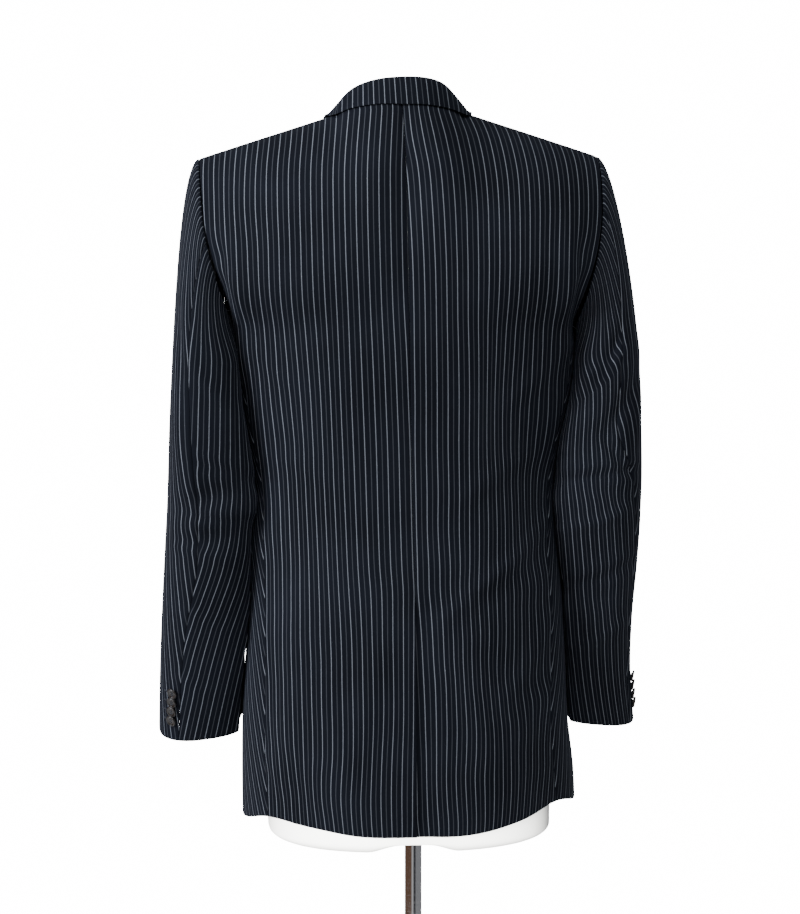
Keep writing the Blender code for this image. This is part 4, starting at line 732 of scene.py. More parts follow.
def finish_cloth(piece, node_name):
    """Every sewn piece rides with the stand and replaces its node."""
    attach(piece, "root")
    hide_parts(node_name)


# ---------------------------------------------------------------- back, sides and fronts
def grain_shift(side, half, z):
    """Sideways shift of the stripes of one back at places given by half width and height."""
    table = GRAIN[side] * 0.001
    rows = np.stack([track(np.column_stack([GRAIN_Z, table[:, k]]), 1)(z) for k in range(len(GRAIN_HALF))])
    slopes = np.gradient(rows, GRAIN_HALF, axis=0)
    half = np.clip(half, 0, GRAIN_HALF[-1])
    i = np.clip(np.searchsorted(GRAIN_HALF, half, side="right") - 1, 0, len(GRAIN_HALF) - 2)
    width = GRAIN_HALF[i + 1] - GRAIN_HALF[i]
    f = (half - GRAIN_HALF[i]) / width
    low, high = (np.take_along_axis(rows, (i + k)[None], 0)[0] for k in (0, 1))
    low_slope, high_slope = (np.take_along_axis(slopes, (i + k)[None], 0)[0] for k in (0, 1))
    return cubic(low, high, low_slope * width, high_slope * width, f)


def back_grid(side, step):
    """Grid of one back with its column of the centre seam, the cells kept and the level runs."""
    columns = spread(0.20, step)
    hems = hem_height[side](columns * back_seam[side](HEM_CUT_Z))
    zs = mix(hems, ARMPIT_Z, spread(0.55, step, last=False)[:, None])
    arcs = columns * (back_seam[side](zs) - 1.1 * SEAM) + 0.35 * SEAM
    first, keep = 0, None
    upper_us = mix(0.35 * SEAM / 0.21, 1.0, columns)
    if side == RIGHT:
        under = -VENT_UNDERLAP * (1 - spread(VENT_UNDERLAP, step, last=False)[:-1])
        first = len(under)
        arcs = np.concatenate([np.broadcast_to(under, (len(zs), first)), arcs], axis=1)
        zs = np.concatenate([np.repeat(zs[:, :1], first, axis=1), zs], axis=1)
        upper_us = np.concatenate([np.zeros(first), upper_us])
    point, normal = panel(side, arcs, zs, step, "back", lambda w: np.broadcast_to(
        upper_us, (len(w), len(upper_us))))
    if side == RIGHT:
        keep = np.ones((point.shape[0] - 1, point.shape[1] - 1), bool)
        keep[point[1:, first, 2] > VENT_TOP_Z - 0.030, :first] = False
    half = side * (point[..., 0] - lean(point[..., 2]))
    run = mix(level_run(point, first), half * 1.03, smooth((point[..., 2] - 1.28) / 0.13))
    return point, normal, keep, half, run


def make_back(side, step, materials):
    """One back; its stripes follow the table of their shifts."""
    point, normal, keep, half, run = back_grid(side, step)
    across = run + grain_shift(side, half, point[..., 2])
    return sewn("back_panel_" + SIDE_NAME[side], point, normal, across, materials, keep)


def make_side(side, step, materials):
    """One side body, scooped under the arm."""
    columns = spread(0.10, step)
    tops = ARMPIT_Z - ARMHOLE_SCOOP * np.sin(math.pi * columns) ** 0.8
    hems = hem_height[side](back_seam[side](HEM_CUT_Z) + columns * side_width(HEM_CUT_Z))
    zs = mix(hems, tops, spread(0.53, step)[:, None])
    arcs = back_seam[side](zs) + 0.75 * SEAM + columns * (side_width(zs) - 1.5 * SEAM)
    point, normal = lower_surface(side, arcs, zs)
    across = level_run(point) + SIDE_LEAN * (SIDE_LEAN_Z - point[..., 2])
    return sewn("side_body_" + SIDE_NAME[side], point, normal, across, materials)


def roll_half(z):
    """Signed distance of the roll line from the lean line; negative past the centre."""
    return mix(-FRONT_OVERLAP, NECK_POINT[0], np.clip((z - BREAK_Z) / (NECK_POINT[2] - BREAK_Z), 0, 1))


def roll_u(side, w):
    """Column fraction of the front patch where the roll line crosses each row."""
    low, high = np.zeros_like(w), np.full_like(w, NECK_SHARE)
    for _ in range(20):
        middle = (low + high) / 2
        point = upper(side, "front", middle, w)
        reached = side * (point[..., 0] - lean(point[..., 2])) > roll_half(point[..., 2])
        low, high = np.where(reached, low, middle), np.where(reached, middle, high)
    return (low + high) / 2


def make_front(side, step, materials):
    """One front, cut away in a curve below and ending at the roll line above."""
    columns = spread(0.24, step)
    seam = back_seam[side](HEM_CUT_Z) + side_width(HEM_CUT_Z)
    edge = girth(side, HEM_CUT_Z) + FRONT_OVERLAP
    base = mix(seam, edge, columns)
    corner = np.clip((base - (edge - CUTAWAY)) / CUTAWAY, 0, 1)
    hems = hem_height[side](base) + CUTAWAY * (1 - np.sqrt(1 - corner ** 2))
    zs = mix(hems, ARMPIT_Z, spread(0.55, step, last=False)[:, None])
    starts = back_seam[side](zs) + side_width(zs) + 0.75 * SEAM
    arcs = mix(starts, girth(side, zs) - roll_half(zs), columns)
    point, normal = panel(side, arcs, zs, step, "front", lambda w: mix(1.0, roll_u(side, w), columns))
    run = level_run(point)
    counted_from = np.interp(point[:, 0, 2], *FRONT_GRAIN)[:, None]
    return sewn("front_panel_" + SIDE_NAME[side], point, normal, run - counted_from, materials)


# ---------------------------------------------------------------- lapels, collar and flaps
def make_lapel(side, step, materials):
    """One lapel, laid on its front and rolling off it at the fold."""
    top_z = LAPEL[-1, 0] + GORGE_DROP
    start_z = BREAK_Z if side == LEFT else RIGHT_LAPEL_Z
    level = mix(start_z, top_z, spread(top_z - start_z, step))[:, None]
    f = spread(0.07, step * 0.8)
    near = roll = roll_half(level)
    if side == RIGHT:
        near = np.maximum(roll, 0.004 - roll)
    far = np.maximum(roll + lapel_reach(level), near + 0.002)
    half = mix(near, far, f)
    drop = GORGE_DROP * f * smooth((level - 1.22) / (top_z - 1.22))
    point, normal = lay(side, "front", half, level - drop)
    lift = mix(2, 5, smooth((level - 1.28) / 0.08)) * SEAM
    lift = lift + LAPEL_ROLL * (1 - f) ** 2 * smooth((level - BREAK_Z) / 0.08) * f * 4
    point = point + normal * (lift + WALL)[..., None]
    piece = sewn("turned_lapel_" + SIDE_NAME[side], point, normal, far - half + LAPEL_START, materials)
    return piece, point, normal


def cleared(points, need, passes=4):
    """Move points out along the body's normals until they stand a distance above it, evenly."""
    grids = []
    u, w = np.meshgrid(np.linspace(0, 1, 41), np.linspace(0.5, 1, 31))
    for side in SIDES:
        for face in ("back", "front"):
            point, normal = upper_surface(side, face, u, w)
            grids.append(np.concatenate([point, normal], axis=-1).reshape(-1, 6))
    body = np.concatenate(grids)
    for turn in range(passes):
        for index in np.ndindex(points.shape[:-1]):
            distance = ((points[index] - body[:, :3]) ** 2).sum(axis=1)
            nearest = np.argsort(distance)[:4]
            weight = 1 / (distance[nearest] + 1e-6)
            spot = (body[nearest] * weight[:, None]).sum(axis=0) / weight.sum()
            normal = unit(spot[3:])
            height = (points[index] - spot[:3]) @ normal
            points[index] += normal * max(0.0, need[index] - height)
        if turn < passes - 1:
            points[1:-1] = (points[:-2] + 2 * points[1:-1] + points[2:]) / 4
    return points


def collar_path(side, station, extra):
    """Middle line of the collar's wall at one station, from its outer edge to the neck seam."""
    half, roll_y, roll_z, edge_half, edge_z, face, stand, bulge = station
    mid = lean(roll_z) + COLLAR_SHIFT
    roll = np.array([mid + side * (half + extra), roll_y, roll_z + side * 0.0010 * min(1.0, half / 0.03)])
    point, normal = (grid[0] for grid in lay(side, face, np.array([edge_half]), np.array([edge_z])))
    point[0] += COLLAR_SHIFT if face == "back" else 0.0
    edge = point + normal * (WALL / 2 + 1.5 * SEAM + 0.0004)
    inward = unit(np.array([mid, -0.012, 0]) - np.array([roll[0], roll[1], 0]))
    belly = mix(roll, edge, 0.45) - inward * bulge + np.array([0, 0, bulge])
    fall = [(1 - t) ** 2 * edge + 2 * t * (1 - t) * belly + t * t * roll
            for t in (0, 0.25, 0.5, 0.75, 0.93)]
    fold = [roll + inward * 0.0016 + np.array([0, 0, 0.0012]),
            roll + inward * 0.0036 + np.array([0, 0, -0.0006])]
    stand_low = roll + inward * 0.0050 - np.array([0, 0, stand])
    if roll_y < NECK_POINT[1]:
        turn = math.atan2(half / NECK_POINT[0],
                          (NECK_POINT[1] - roll_y) / (back_depth(NECK_Z) + NECK_POINT[1]))
        seam = top_edge(side, "back", np.array(turn / (math.pi / 2) * NECK_SHARE))
        stand_low = seam + inward * (1.5 * WALL + SEAM) - np.array([0, 0, 0.0012])
    return fall + fold + [mix(fold[-1], stand_low, 0.5), stand_low]


def resampled(grid, samples):
    """Smooth curve through the rows of a grid at new row numbers."""
    slopes = np.gradient(grid, axis=0)
    i = np.clip(samples.astype(int), 0, len(grid) - 2)
    return cubic(grid[i], grid[i + 1], slopes[i], slopes[i + 1], (samples - i)[:, None, None])


def make_collar(step, materials):
    """The collar from one front end round the neck to the other; its stripes cross its fall."""
    left, right = ([collar_path(side, *pair) for pair in zip(COLLAR, COLLAR_SPREAD[side])]
                   for side in SIDES)
    coarse = np.array(left[:0:-1] + right)
    grid = resampled(coarse, np.linspace(0, len(coarse) - 1, 3 * (len(coarse) - 1) + 1))
    need = np.full(grid.shape[:2], -1.0)
    in_front = 3 * (len(COLLAR) - 8) + 1
    need[:, :5] = need[:in_front] = need[-in_front:] = WALL / 2 + COLLAR_LIFT
    need += 0.0004 * np.exp(-((grid[..., 1] - NECK_POINT[1]) / 0.02) ** 2)
    grid = cleared(grid, need)
    rows = spread(0.5, step) * (len(grid) - 1)
    grid = resampled(grid, rows)
    lines = spread(0.07, 0.0016) * (grid.shape[1] - 1)
    grid = resampled(grid.swapaxes(0, 1), lines).swapaxes(0, 1)
    normal = unit(np.cross(np.gradient(grid, axis=1), np.gradient(grid, axis=0)))
    run = runs(grid, 0)
    level = grid[..., 0] - lean(1.50) - COLLAR_SHIFT
    middle = np.array([np.interp(0, level[:, k], run[:, k]) for k in range(grid.shape[1])])
    level = level + (0.0016 + 0.04 * level) * np.clip((grid[..., 2] - 1.508) / 0.027, -0.6, 0.6)
    level = np.interp(level, COLLAR_GRAIN, COLLAR_COUNT * STRIPE_PITCH)
    round_side = smooth((grid[:, 2:3, 1] + 0.040) / 0.03)
    across = mix(level, run - middle + STRIPE_PITCH / 2, round_side)
    return sewn("collar_fall_and_stand", grid + normal * WALL / 2, normal, across, materials,
                dip=0.0004, reach=0.0022, facing_width=1.0)


def make_flap(side, step, materials):
    """One pocket flap, standing off the front a little more towards its lower edge."""
    f = spread(FLAP_LENGTH, step)
    down = spread(FLAP_DROP, step)[:, None]
    corner = np.maximum(0.0, np.abs(f - 0.5) * 2 - 0.84) / 0.16
    zs = FLAP_TOP_Z - (FLAP_DROP - 0.008 * corner ** 2) * down
    point, normal = lower_surface(side, FLAP_BACK_ARC + FLAP_LENGTH * f, zs)
    lift = 2.5 * SEAM + 0.0010 * down + FLAP_WALL
    point = point + normal * (lift * np.ones_like(f))[..., None]
    piece = sewn("pocket_flap_" + SIDE_NAME[side], point, normal, level_run(point) + FLAP_START, materials,
                 thick=FLAP_WALL)
    return piece, point, normal


# ---------------------------------------------------------------- sleeves
def sleeve_armhole(side, around):
    """Armhole ring: 0 shoulder tip, 0.25 back, 0.5 underarm, 0.75 front."""
    corners = armhole_corners(side)
    scoop = np.linspace(0, 1, 9)
    under = ring(side, mix(*corners, scoop), ARMPIT_Z - ARMHOLE_SCOOP * np.sin(math.pi * scoop) ** 0.8)
    down = armhole_edge(side, "back", np.linspace(1, 0, 17))
    up = armhole_edge(side, "front", np.linspace(0, 1, 17))
    back = spline(np.concatenate([down, under[1:5]]), np.clip(around * 2, 0, 1))
    front = spline(np.concatenate([under[4:], up[1:]]), np.clip(around * 2 - 1, 0, 1))
    return np.where(around[..., None] < 0.5, back, front)


sleeve_track = {column: track(SLEEVES, column) for column in range(1, 8)}
arm_pull = {LEFT: track(ARM_PULL, 1), RIGHT: track(ARM_PULL, 2)}


def sleeve_ring(side, around, z):
    """Point of the sleeve's section at a height; around is 0 at the outside."""
    outer = sleeve_track[1 if side == LEFT else 2](z)
    inner = half_width[side](z) + sleeve_track[3](z)
    hind, fore, square, press = (sleeve_track[column](z) for column in (4, 5, 6, 7))
    turn = (around % 1) * 4
    quarter = np.where(turn < 2, turn, 4 - turn)
    x, y = squared_ring(quarter, (fore - hind) / 2, (outer - inner) / 2, (outer - inner) / 2, square)
    corner = np.where((turn > 1) & (turn < 2), np.sin(math.pi * (turn - 1)) ** 2, 0.0)
    half = (outer + inner) / 2 - y - press * corner
    depth = (fore + hind) / 2 - np.where(turn < 2, x, -x)
    far = np.where(depth < 0, back_depth(z), front_depth(z))
    n = squareness(z)
    body = half_width[side](z) * np.maximum(1 - (np.abs(depth) / far) ** n, 0) ** (1 / n)
    beside = smooth((turn - 1.0) / 0.5) * smooth((3.0 - turn) / 0.5)
    half = half - np.clip(half - body - ARM_REST, 0, arm_pull[side](z)) * beside
    return np.stack(np.broadcast_arrays(lean(z) + side * half, depth, z), axis=-1)


def sleeve_folds(side, around, z):
    """Outward displacement of the sleeve's folds and creases."""
    total = 0.0006 * drift(around * SLEEVE_GIRTH, z, 21 if side == LEFT else 22)
    for where, way, height, slope, reach, tall, depth in CREASES:
        if where == side:
            shift = around - way
            line = height + slope * shift
            total = total + depth * np.exp(-(shift / reach) ** 2) * np.exp(-((z - line) / tall) ** 2)
    for where, a0, z0, a1, z1, bow, width, rise in SLEEVE_CREASES:
        if where == side:
            total = total + rise * ridge(around * SLEEVE_GIRTH, z, a0, z0, a1, z1, bow, width)
    return total


def sleeve_height(side, around, rise):
    """Height of the tube's rows; the lowest row follows the slanting cuff edge."""
    level, outside, hind = CUFFS[side]
    turn = 2 * math.pi * around
    return mix(level - outside * np.cos(turn) - hind * np.sin(turn), SLEEVE_TOP_Z, np.clip(rise, 0, 1))


def sleeve_surface(side, around, rise):
    """Sleeve point; rise 0..1 from the cuff to the head's base, 1..2 over the head."""
    around, rise = np.broadcast_arrays(np.asarray(around, float), np.asarray(rise, float))
    tube = sleeve_ring(side, around, sleeve_height(side, around, rise))
    base = sleeve_ring(side, around, np.full(around.shape, SLEEVE_TOP_Z))
    lower = sleeve_ring(side, around, np.full(around.shape, SLEEVE_TOP_Z - 0.01))
    end = sleeve_armhole(side, around % 1)
    under = 0.5 - 0.5 * np.cos(2 * math.pi * around)
    end[..., 0] += side * (2.6 * SEAM + 0.0004 * under ** 4)
    swing = np.sin(2 * math.pi * around)
    arrive = unit(np.stack([-side * (1.02 - under), 0.45 * swing, 0.22 + 1.3 * under ** 3], axis=-1))
    reach = np.linalg.norm(end - base, axis=-1)[..., None]
    t = np.clip(rise - 1, 0, 1)[..., None]
    head = cubic(base, end, unit(base - lower) * reach, arrive * reach * HEAD_FULLNESS, t)
    return np.where(rise[..., None] > 1, head, tube)


def sleeve_seam(side, rise):
    """Fractions round the sleeve of its hind and fore seams at each row."""
    z = mix(CUFFS[side][0], SLEEVE_TOP_Z, np.clip(rise, 0, 1))
    hind, fore = track(SLEEVE_SEAMS, 1 if side == LEFT else 2)(z), track(SLEEVE_SEAMS, 3)(z)
    f = smooth(rise - 1)
    return mix(hind, HEAD_HIND[side], f), mix(fore, HEAD_FORE, f)


def sleeve_grid(side, around, rise):
    """Outer points and normals of a sleeve piece."""
    small = 0.004
    point = sleeve_surface(side, around, rise)
    across = sleeve_surface(side, around + small, rise) - sleeve_surface(side, around - small, rise)
    upward = (sleeve_surface(side, around, np.minimum(rise + small, 2))
              - sleeve_surface(side, around, np.maximum(rise - small, 0)))
    normal = unit(np.cross(across, upward)) * -side
    depth = sleeve_folds(side, around % 1, point[..., 2]) * smooth((1.75 - rise) / 0.6)
    beside = smooth((around % 1 - 0.30) / 0.08) * smooth((0.66 - around % 1) / 0.08)
    depth = depth - ARM_CLEAR[side] * beside * smooth((1.6 - rise) / 0.5)
    return point + normal * depth[..., None], normal


def make_sleeve(side, part, step, materials):
    """Top or under sleeve; its stripes run down the arm, lean below the elbow and swerve on folds."""
    rise = np.concatenate([spread(0.41, step, last=False), 1 + spread(0.20, step, first=False)[1:]])
    hind, fore = (edge[:, None] for edge in sleeve_seam(side, rise))
    gap = SEAM / 0.34
    columns = spread(0.17, step)
    if part == "top":
        around = mix(fore - 1 + gap, hind - gap, columns)
    else:
        around = mix(hind + gap, fore - gap, columns)
    point, normal = sleeve_grid(side, around, rise[:, None])
    drop = ARM_GRAIN[side][0] - point[..., 2]
    below = np.where(drop > 0.04, drop - 0.02, np.maximum(drop, 0) ** 2 / 0.08)
    whole = np.maximum(1.27 - point[..., 2], 0)
    run = runs(sleeve_surface(side, around, rise[:, None]), 1)
    kinks = KINK * sleeve_folds(side, around % 1, point[..., 2])
    if side == RIGHT and part == "under":
        lead = sleeve_surface(side, mix(ARM_LEAD, hind, np.linspace(0, 1, 12)), rise[:, None])
        kinks = kinks + runs(lead, 1)[:, -1:] * np.sign(hind - ARM_LEAD)
        bend = ARM_BEND[0] - (around * SLEEVE_GIRTH - ARM_BEND[1])
        kinks = kinks + ARM_BEND[2] * np.clip(BEND_TOP_Z - point[..., 2], 0,
                                               np.maximum(BEND_TOP_Z - bend, 0))
    high, low = ARM_GRAIN[side][1 if part == "top" else 2]
    if part == "top":
        outside = np.array([np.interp(0, row, length) for row, length in zip(around, run)])
        across = run - outside[:, None] - whole * high - below * low + kinks + TOP_SLEEVE_START
    else:
        across = run + whole * high + below * low + kinks + STRIPE_PITCH / 2
    name = "%s_sleeve_%s" % ("outer" if part == "top" else "inner", SIDE_NAME[side])
    return sewn(name, point, normal, across, materials)


# ---------------------------------------------------------------- materials
def join(tree, made, inputs):
    """Give a node's inputs, by name or number, a value or another node's socket."""
    for key, value in inputs.items():
        if isinstance(value, bpy.types.NodeSocket):
            tree.links.new(value, made.inputs[key])
        else:
            made.inputs[key].default_value = value


def node(tree, kind, inputs=None, **settings):
    """Add a shader or geometry node."""
    made = tree.nodes.new(kind)
    for key, value in settings.items():
        setattr(made, key, value)
    join(tree, made, inputs or {})
    return made


def math_node(tree, operation, a, b=0.0, c=0.0):
    return node(tree, "ShaderNodeMath", {0: a, 1: b, 2: c}, operation=operation).outputs[0]


def wave(tree, value, rate):
    """Sine of a value times a rate."""
    return math_node(tree, "SINE", math_node(tree, "MULTIPLY", value, rate))


def ramp(tree, value, low, high, to_low=0.0, to_high=1.0):
    """Clamped smooth step between two values."""
    inputs = {"Value": value, "From Min": low, "From Max": high, "To Min": to_low, "To Max": to_high}
    return node(tree, "ShaderNodeMapRange", inputs, interpolation_type="SMOOTHSTEP").outputs[0]


def tint(tree, factor, a, b):
    """Mix of two colours, each a value or a socket."""
    a, b = (value if isinstance(value, bpy.types.NodeSocket) else (*value, 1) for value in (a, b))
    return node(tree, "ShaderNodeMix", {0: factor, 6: a, 7: b}, data_type="RGBA").outputs[2]


def scaled(color, share, more=0.0):
    """A colour made darker or lighter."""
    return tuple(min(1.0, share * part + more) for part in color)


def noise(tree, vector, scale, detail=3.0):
    """Noise of one scale, or of a scale for each direction."""
    if isinstance(scale, tuple):
        vector = node(tree, "ShaderNodeVectorMath", {0: vector, 1: scale}, operation="MULTIPLY").outputs[0]
        scale = 1.0
    inputs = {"Vector": vector, "Scale": scale, "Detail": detail}
    return node(tree, "ShaderNodeTexNoise", inputs).outputs["Fac"]


def relief(tree, height, strength, distance):
    """Fine relief as a shader's normal."""
    return node(tree, "ShaderNodeBump", {"Height": height, "Strength": strength,
                                         "Distance": distance}).outputs[0]


def painted(name):
    """The material of that name, made when it is first asked for."""
    def wrap(paint):
        def material(settings):
            if name not in bpy.data.materials:
                made = bpy.data.materials.new(name)
                made.use_nodes = True
                tree = made.node_tree
                place = node(tree, "ShaderNodeTexCoord").outputs["Object"]
                join(tree, tree.nodes["Principled BSDF"], paint(settings, tree, place))
            return bpy.data.materials[name]
        return material
    return wrap


@painted("navy_pinstripe_worsted")
def worsted(settings, tree, place):
    """Navy worsted: fine twill, bright pinstripes and a faint stripe half way between them."""
    uv = node(tree, "ShaderNodeUVMap", uv_map="cloth").outputs[0]
    straight, along = node(tree, "ShaderNodeSeparateXYZ", {0: uv}).outputs[:2]
    pitch, half = settings.stripe_pitch, settings.stripe_width / 2
    stray = math_node(tree, "SUBTRACT", noise(tree, uv, (900, 260, 1)), 0.5)
    across = math_node(tree, "ADD", straight, math_node(tree, "MULTIPLY", stray, 0.00025))
    off = math_node(tree, "PINGPONG", across, pitch / 2)
    middle = math_node(tree, "SUBTRACT", pitch / 2, off)
    faint = ramp(tree, middle, half + 0.0003, half - 0.0003)
    beads = wave(tree, along, 2 * math.pi / 0.0012)
    pin = math_node(tree, "MULTIPLY", ramp(tree, off, half + 0.00018, half - 0.00018),
                    math_node(tree, "MULTIPLY_ADD", beads, 0.16, 0.84))
    fibre = noise(tree, uv, (5200, 1500, 1), 2.0)
    shade = math_node(tree, "ADD", math_node(tree, "MULTIPLY", fibre, 0.6),
                      math_node(tree, "MULTIPLY", noise(tree, place, 14.0), 0.4))
    stripe = tuple(settings.stripe_color)
    color = tint(tree, ramp(tree, shade, 0.30, 0.72), scaled(settings.cloth_color, 0.62),
                 scaled(settings.cloth_color, 1.45))
    color = tint(tree, math_node(tree, "MULTIPLY", faint, settings.faint_stripe), color, stripe)
    color = tint(tree, math_node(tree, "MULTIPLY", pin, 0.94), color, stripe)
    twill = wave(tree, math_node(tree, "ADD", across, along), 2 * math.pi / 0.0011)
    height = math_node(tree, "ADD", math_node(tree, "MULTIPLY", twill, 0.35), fibre)
    height = math_node(tree, "ADD", height, math_node(tree, "MULTIPLY", pin, 0.6))
    return {"Base Color": color, "Roughness": ramp(tree, fibre, 0.2, 0.8, 0.78, 0.92),
            "Normal": relief(tree, height, 0.35, 0.00012), "Specular IOR Level": 0.07,
            "Sheen Weight": 0.02, "Sheen Roughness": 0.45, "Sheen Tint": (0.55, 0.68, 1.0, 1)}


@painted("navy_lining_satin")
def lining(settings, tree, place):
    """Dark satin lining with its fine ribs."""
    uv = node(tree, "ShaderNodeUVMap", uv_map="cloth").outputs[0]
    ribs = wave(tree, node(tree, "ShaderNodeSeparateXYZ", {0: uv}).outputs[0], 2 * math.pi / 0.0008)
    cloud = noise(tree, place, 30.0)
    return {"Base Color": tint(tree, cloud, scaled(settings.lining_color, 0.7),
                               scaled(settings.lining_color, 1.3)),
            "Roughness": ramp(tree, cloud, 0.3, 0.7, 0.32, 0.42),
            "Normal": relief(tree, ribs, 0.15, 0.00008)}


@painted("dark_horn")
def horn(settings, tree, place):
    """Dark mottled horn with a satin polish."""
    veins = noise(tree, place, (420, 420, 160), 5.0)
    return {"Base Color": tint(tree, ramp(tree, veins, 0.50, 0.78), tuple(settings.button_color),
                               scaled(settings.button_color, 4.2, 0.02)),
            "Roughness": ramp(tree, veins, 0.3, 0.7, 0.22, 0.36),
            "Normal": relief(tree, noise(tree, place, 2600.0), 0.12, 0.00005),
            "Coat Weight": 0.35, "Coat Roughness": 0.18}


@painted("navy_silk_thread")
def thread(settings, tree, place):
    """Twisted silk thread."""
    twist = wave(tree, noise(tree, place, 900.0), 40.0)
    return {"Base Color": tint(tree, ramp(tree, twist, -1, 1), tuple(settings.thread_color),
                               scaled(settings.thread_color, 2.2)), "Roughness": 0.55}


@painted("white_form_shell")
def form_shell(settings, tree, place):
    """Smooth white moulded shell, a little uneven."""
    cloud = noise(tree, place, 9.0, 4.0)
    return {"Base Color": tint(tree, ramp(tree, cloud, 0.35, 0.7), tuple(settings.form_color),
                               scaled(settings.form_color, 0.93)),
            "Roughness": ramp(tree, cloud, 0.3, 0.7, 0.40, 0.52),
            "Normal": relief(tree, noise(tree, place, 1400.0), 0.08, 0.0001)}


@painted("polished_steel_tube")
def chrome(settings, tree, place):
    """Polished steel with faint wiping marks."""
    marks = noise(tree, place, (60, 60, 900))
    return {"Base Color": tint(tree, marks, tuple(settings.metal_color), scaled(settings.metal_color, 0.92)),
            "Roughness": ramp(tree, marks, 0.3, 0.7, 0.06, 0.13), "Metallic": 1.0}


# ---------------------------------------------------------------- stitches
def stitch_tree():
    """Geometry nodes that lay rounded stitches along edges, turned about the cloth's normal."""
    if "stitch_row" in bpy.data.node_groups:
        return bpy.data.node_groups["stitch_row"]
    tree = bpy.data.node_groups.new("stitch_row", "GeometryNodeTree")
    face = tree.interface
    face.new_socket("Geometry", in_out="INPUT", socket_type="NodeSocketGeometry")
    for name in ("Spacing", "Length", "Width", "Turn"):
        face.new_socket(name, in_out="INPUT", socket_type="NodeSocketFloat")
    face.new_socket("Thread", in_out="INPUT", socket_type="NodeSocketMaterial")
    face.new_socket("Geometry", in_out="OUTPUT", socket_type="NodeSocketGeometry")
    given = node(tree, "NodeGroupInput").outputs
    curve = node(tree, "GeometryNodeMeshToCurve", {"Mesh": given["Geometry"]}).outputs[0]
    points = node(tree, "GeometryNodeCurveToPoints", {"Curve": curve, "Length": given["Spacing"]},
                  mode="LENGTH")
    out = node(tree, "GeometryNodeInputNamedAttribute", {"Name": "out"}, data_type="FLOAT_VECTOR")
    first = node(tree, "FunctionNodeAlignRotationToVector", {"Vector": points.outputs["Tangent"]}, axis="X")
    second = node(tree, "FunctionNodeAlignRotationToVector",
                  {"Rotation": first.outputs[0], "Vector": out.outputs["Attribute"]},
                  axis="Z", pivot_axis="X")
    angle = node(tree, "FunctionNodeAxisAngleToRotation", {"Axis": (0, 0, 1), "Angle": given["Turn"]})
    turned_ = node(tree, "FunctionNodeRotateRotation",
                   {"Rotation": second.outputs[0], "Rotate By": angle.outputs[0]}, rotation_space="LOCAL")
    half = [math_node(tree, "MULTIPLY", given[name], share)
            for name, share in (("Length", 0.5), ("Width", 0.5), ("Width", 0.40))]
    size = node(tree, "ShaderNodeCombineXYZ", dict(zip((0, 1, 2), half))).outputs[0]
    bead = node(tree, "GeometryNodeMeshUVSphere", {"Segments": 8, "Rings": 5, "Radius": 1.0})
    placed_ = node(tree, "GeometryNodeInstanceOnPoints",
                   {"Points": points.outputs["Points"], "Instance": bead.outputs["Mesh"],
                    "Rotation": turned_.outputs[0], "Scale": size})
    real = node(tree, "GeometryNodeRealizeInstances", {"Geometry": placed_.outputs[0]})
    round_ = node(tree, "GeometryNodeSetShadeSmooth", {"Geometry": real.outputs[0]})
    painted = node(tree, "GeometryNodeSetMaterial",
                   {"Geometry": round_.outputs[0], "Material": given["Thread"]})
    node(tree, "NodeGroupOutput", {"Geometry": painted.outputs[0]})
    return tree


def stitched(name, rows, spacing, length, width, turn, material):
    """Plain mesh of stitches along rows of (points, normals)."""
    mesh = bpy.data.meshes.new(name + "_line")
    vertices, edges, outs = [], [], []
    for points, normals in rows:
        start = len(vertices)
        vertices += (points + normals * width * 0.15).tolist()
        outs.append(normals)
        edges += [(start + k, start + k + 1) for k in range(len(points) - 1)]
    mesh.from_pydata(vertices, edges, [])
    layer = mesh.attributes.new("out", "FLOAT_VECTOR", "POINT")
    layer.data.foreach_set("vector", np.concatenate(outs).astype(np.float32).ravel())
    line = linked(name + "_line", mesh)
    tree = stitch_tree()
    modifier = line.modifiers.new("stitches", "NODES")
    modifier.node_group = tree
    given = {item.name: item.identifier for item in tree.interface.items_tree if item.in_out == "INPUT"}
    for key, value in (("Spacing", spacing), ("Length", length), ("Width", width), ("Turn", turn),
                       ("Thread", material)):
        modifier[given[key]] = value
    plain = evaluated_mesh(line)
    plain.name = name
    bpy.data.objects.remove(line)
    thing = linked(name, plain)
    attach(thing, "root")
    return thing


# ---------------------------------------------------------------- buttons
def turned(profile, segments):
    """Vertices and faces of a solid of revolution about z, closed at both ends."""
    angle = np.arange(segments) * 2 * math.pi / segments
    vertices = [(r * c, r * s, h) for r, h in profile for c, s in zip(np.cos(angle), np.sin(angle))]
    last = (len(profile) - 1) * segments
    ends = [list(reversed(range(segments))), list(range(last, last + segments))]
    return vertices, rings_of_quads(len(profile), segments) + ends


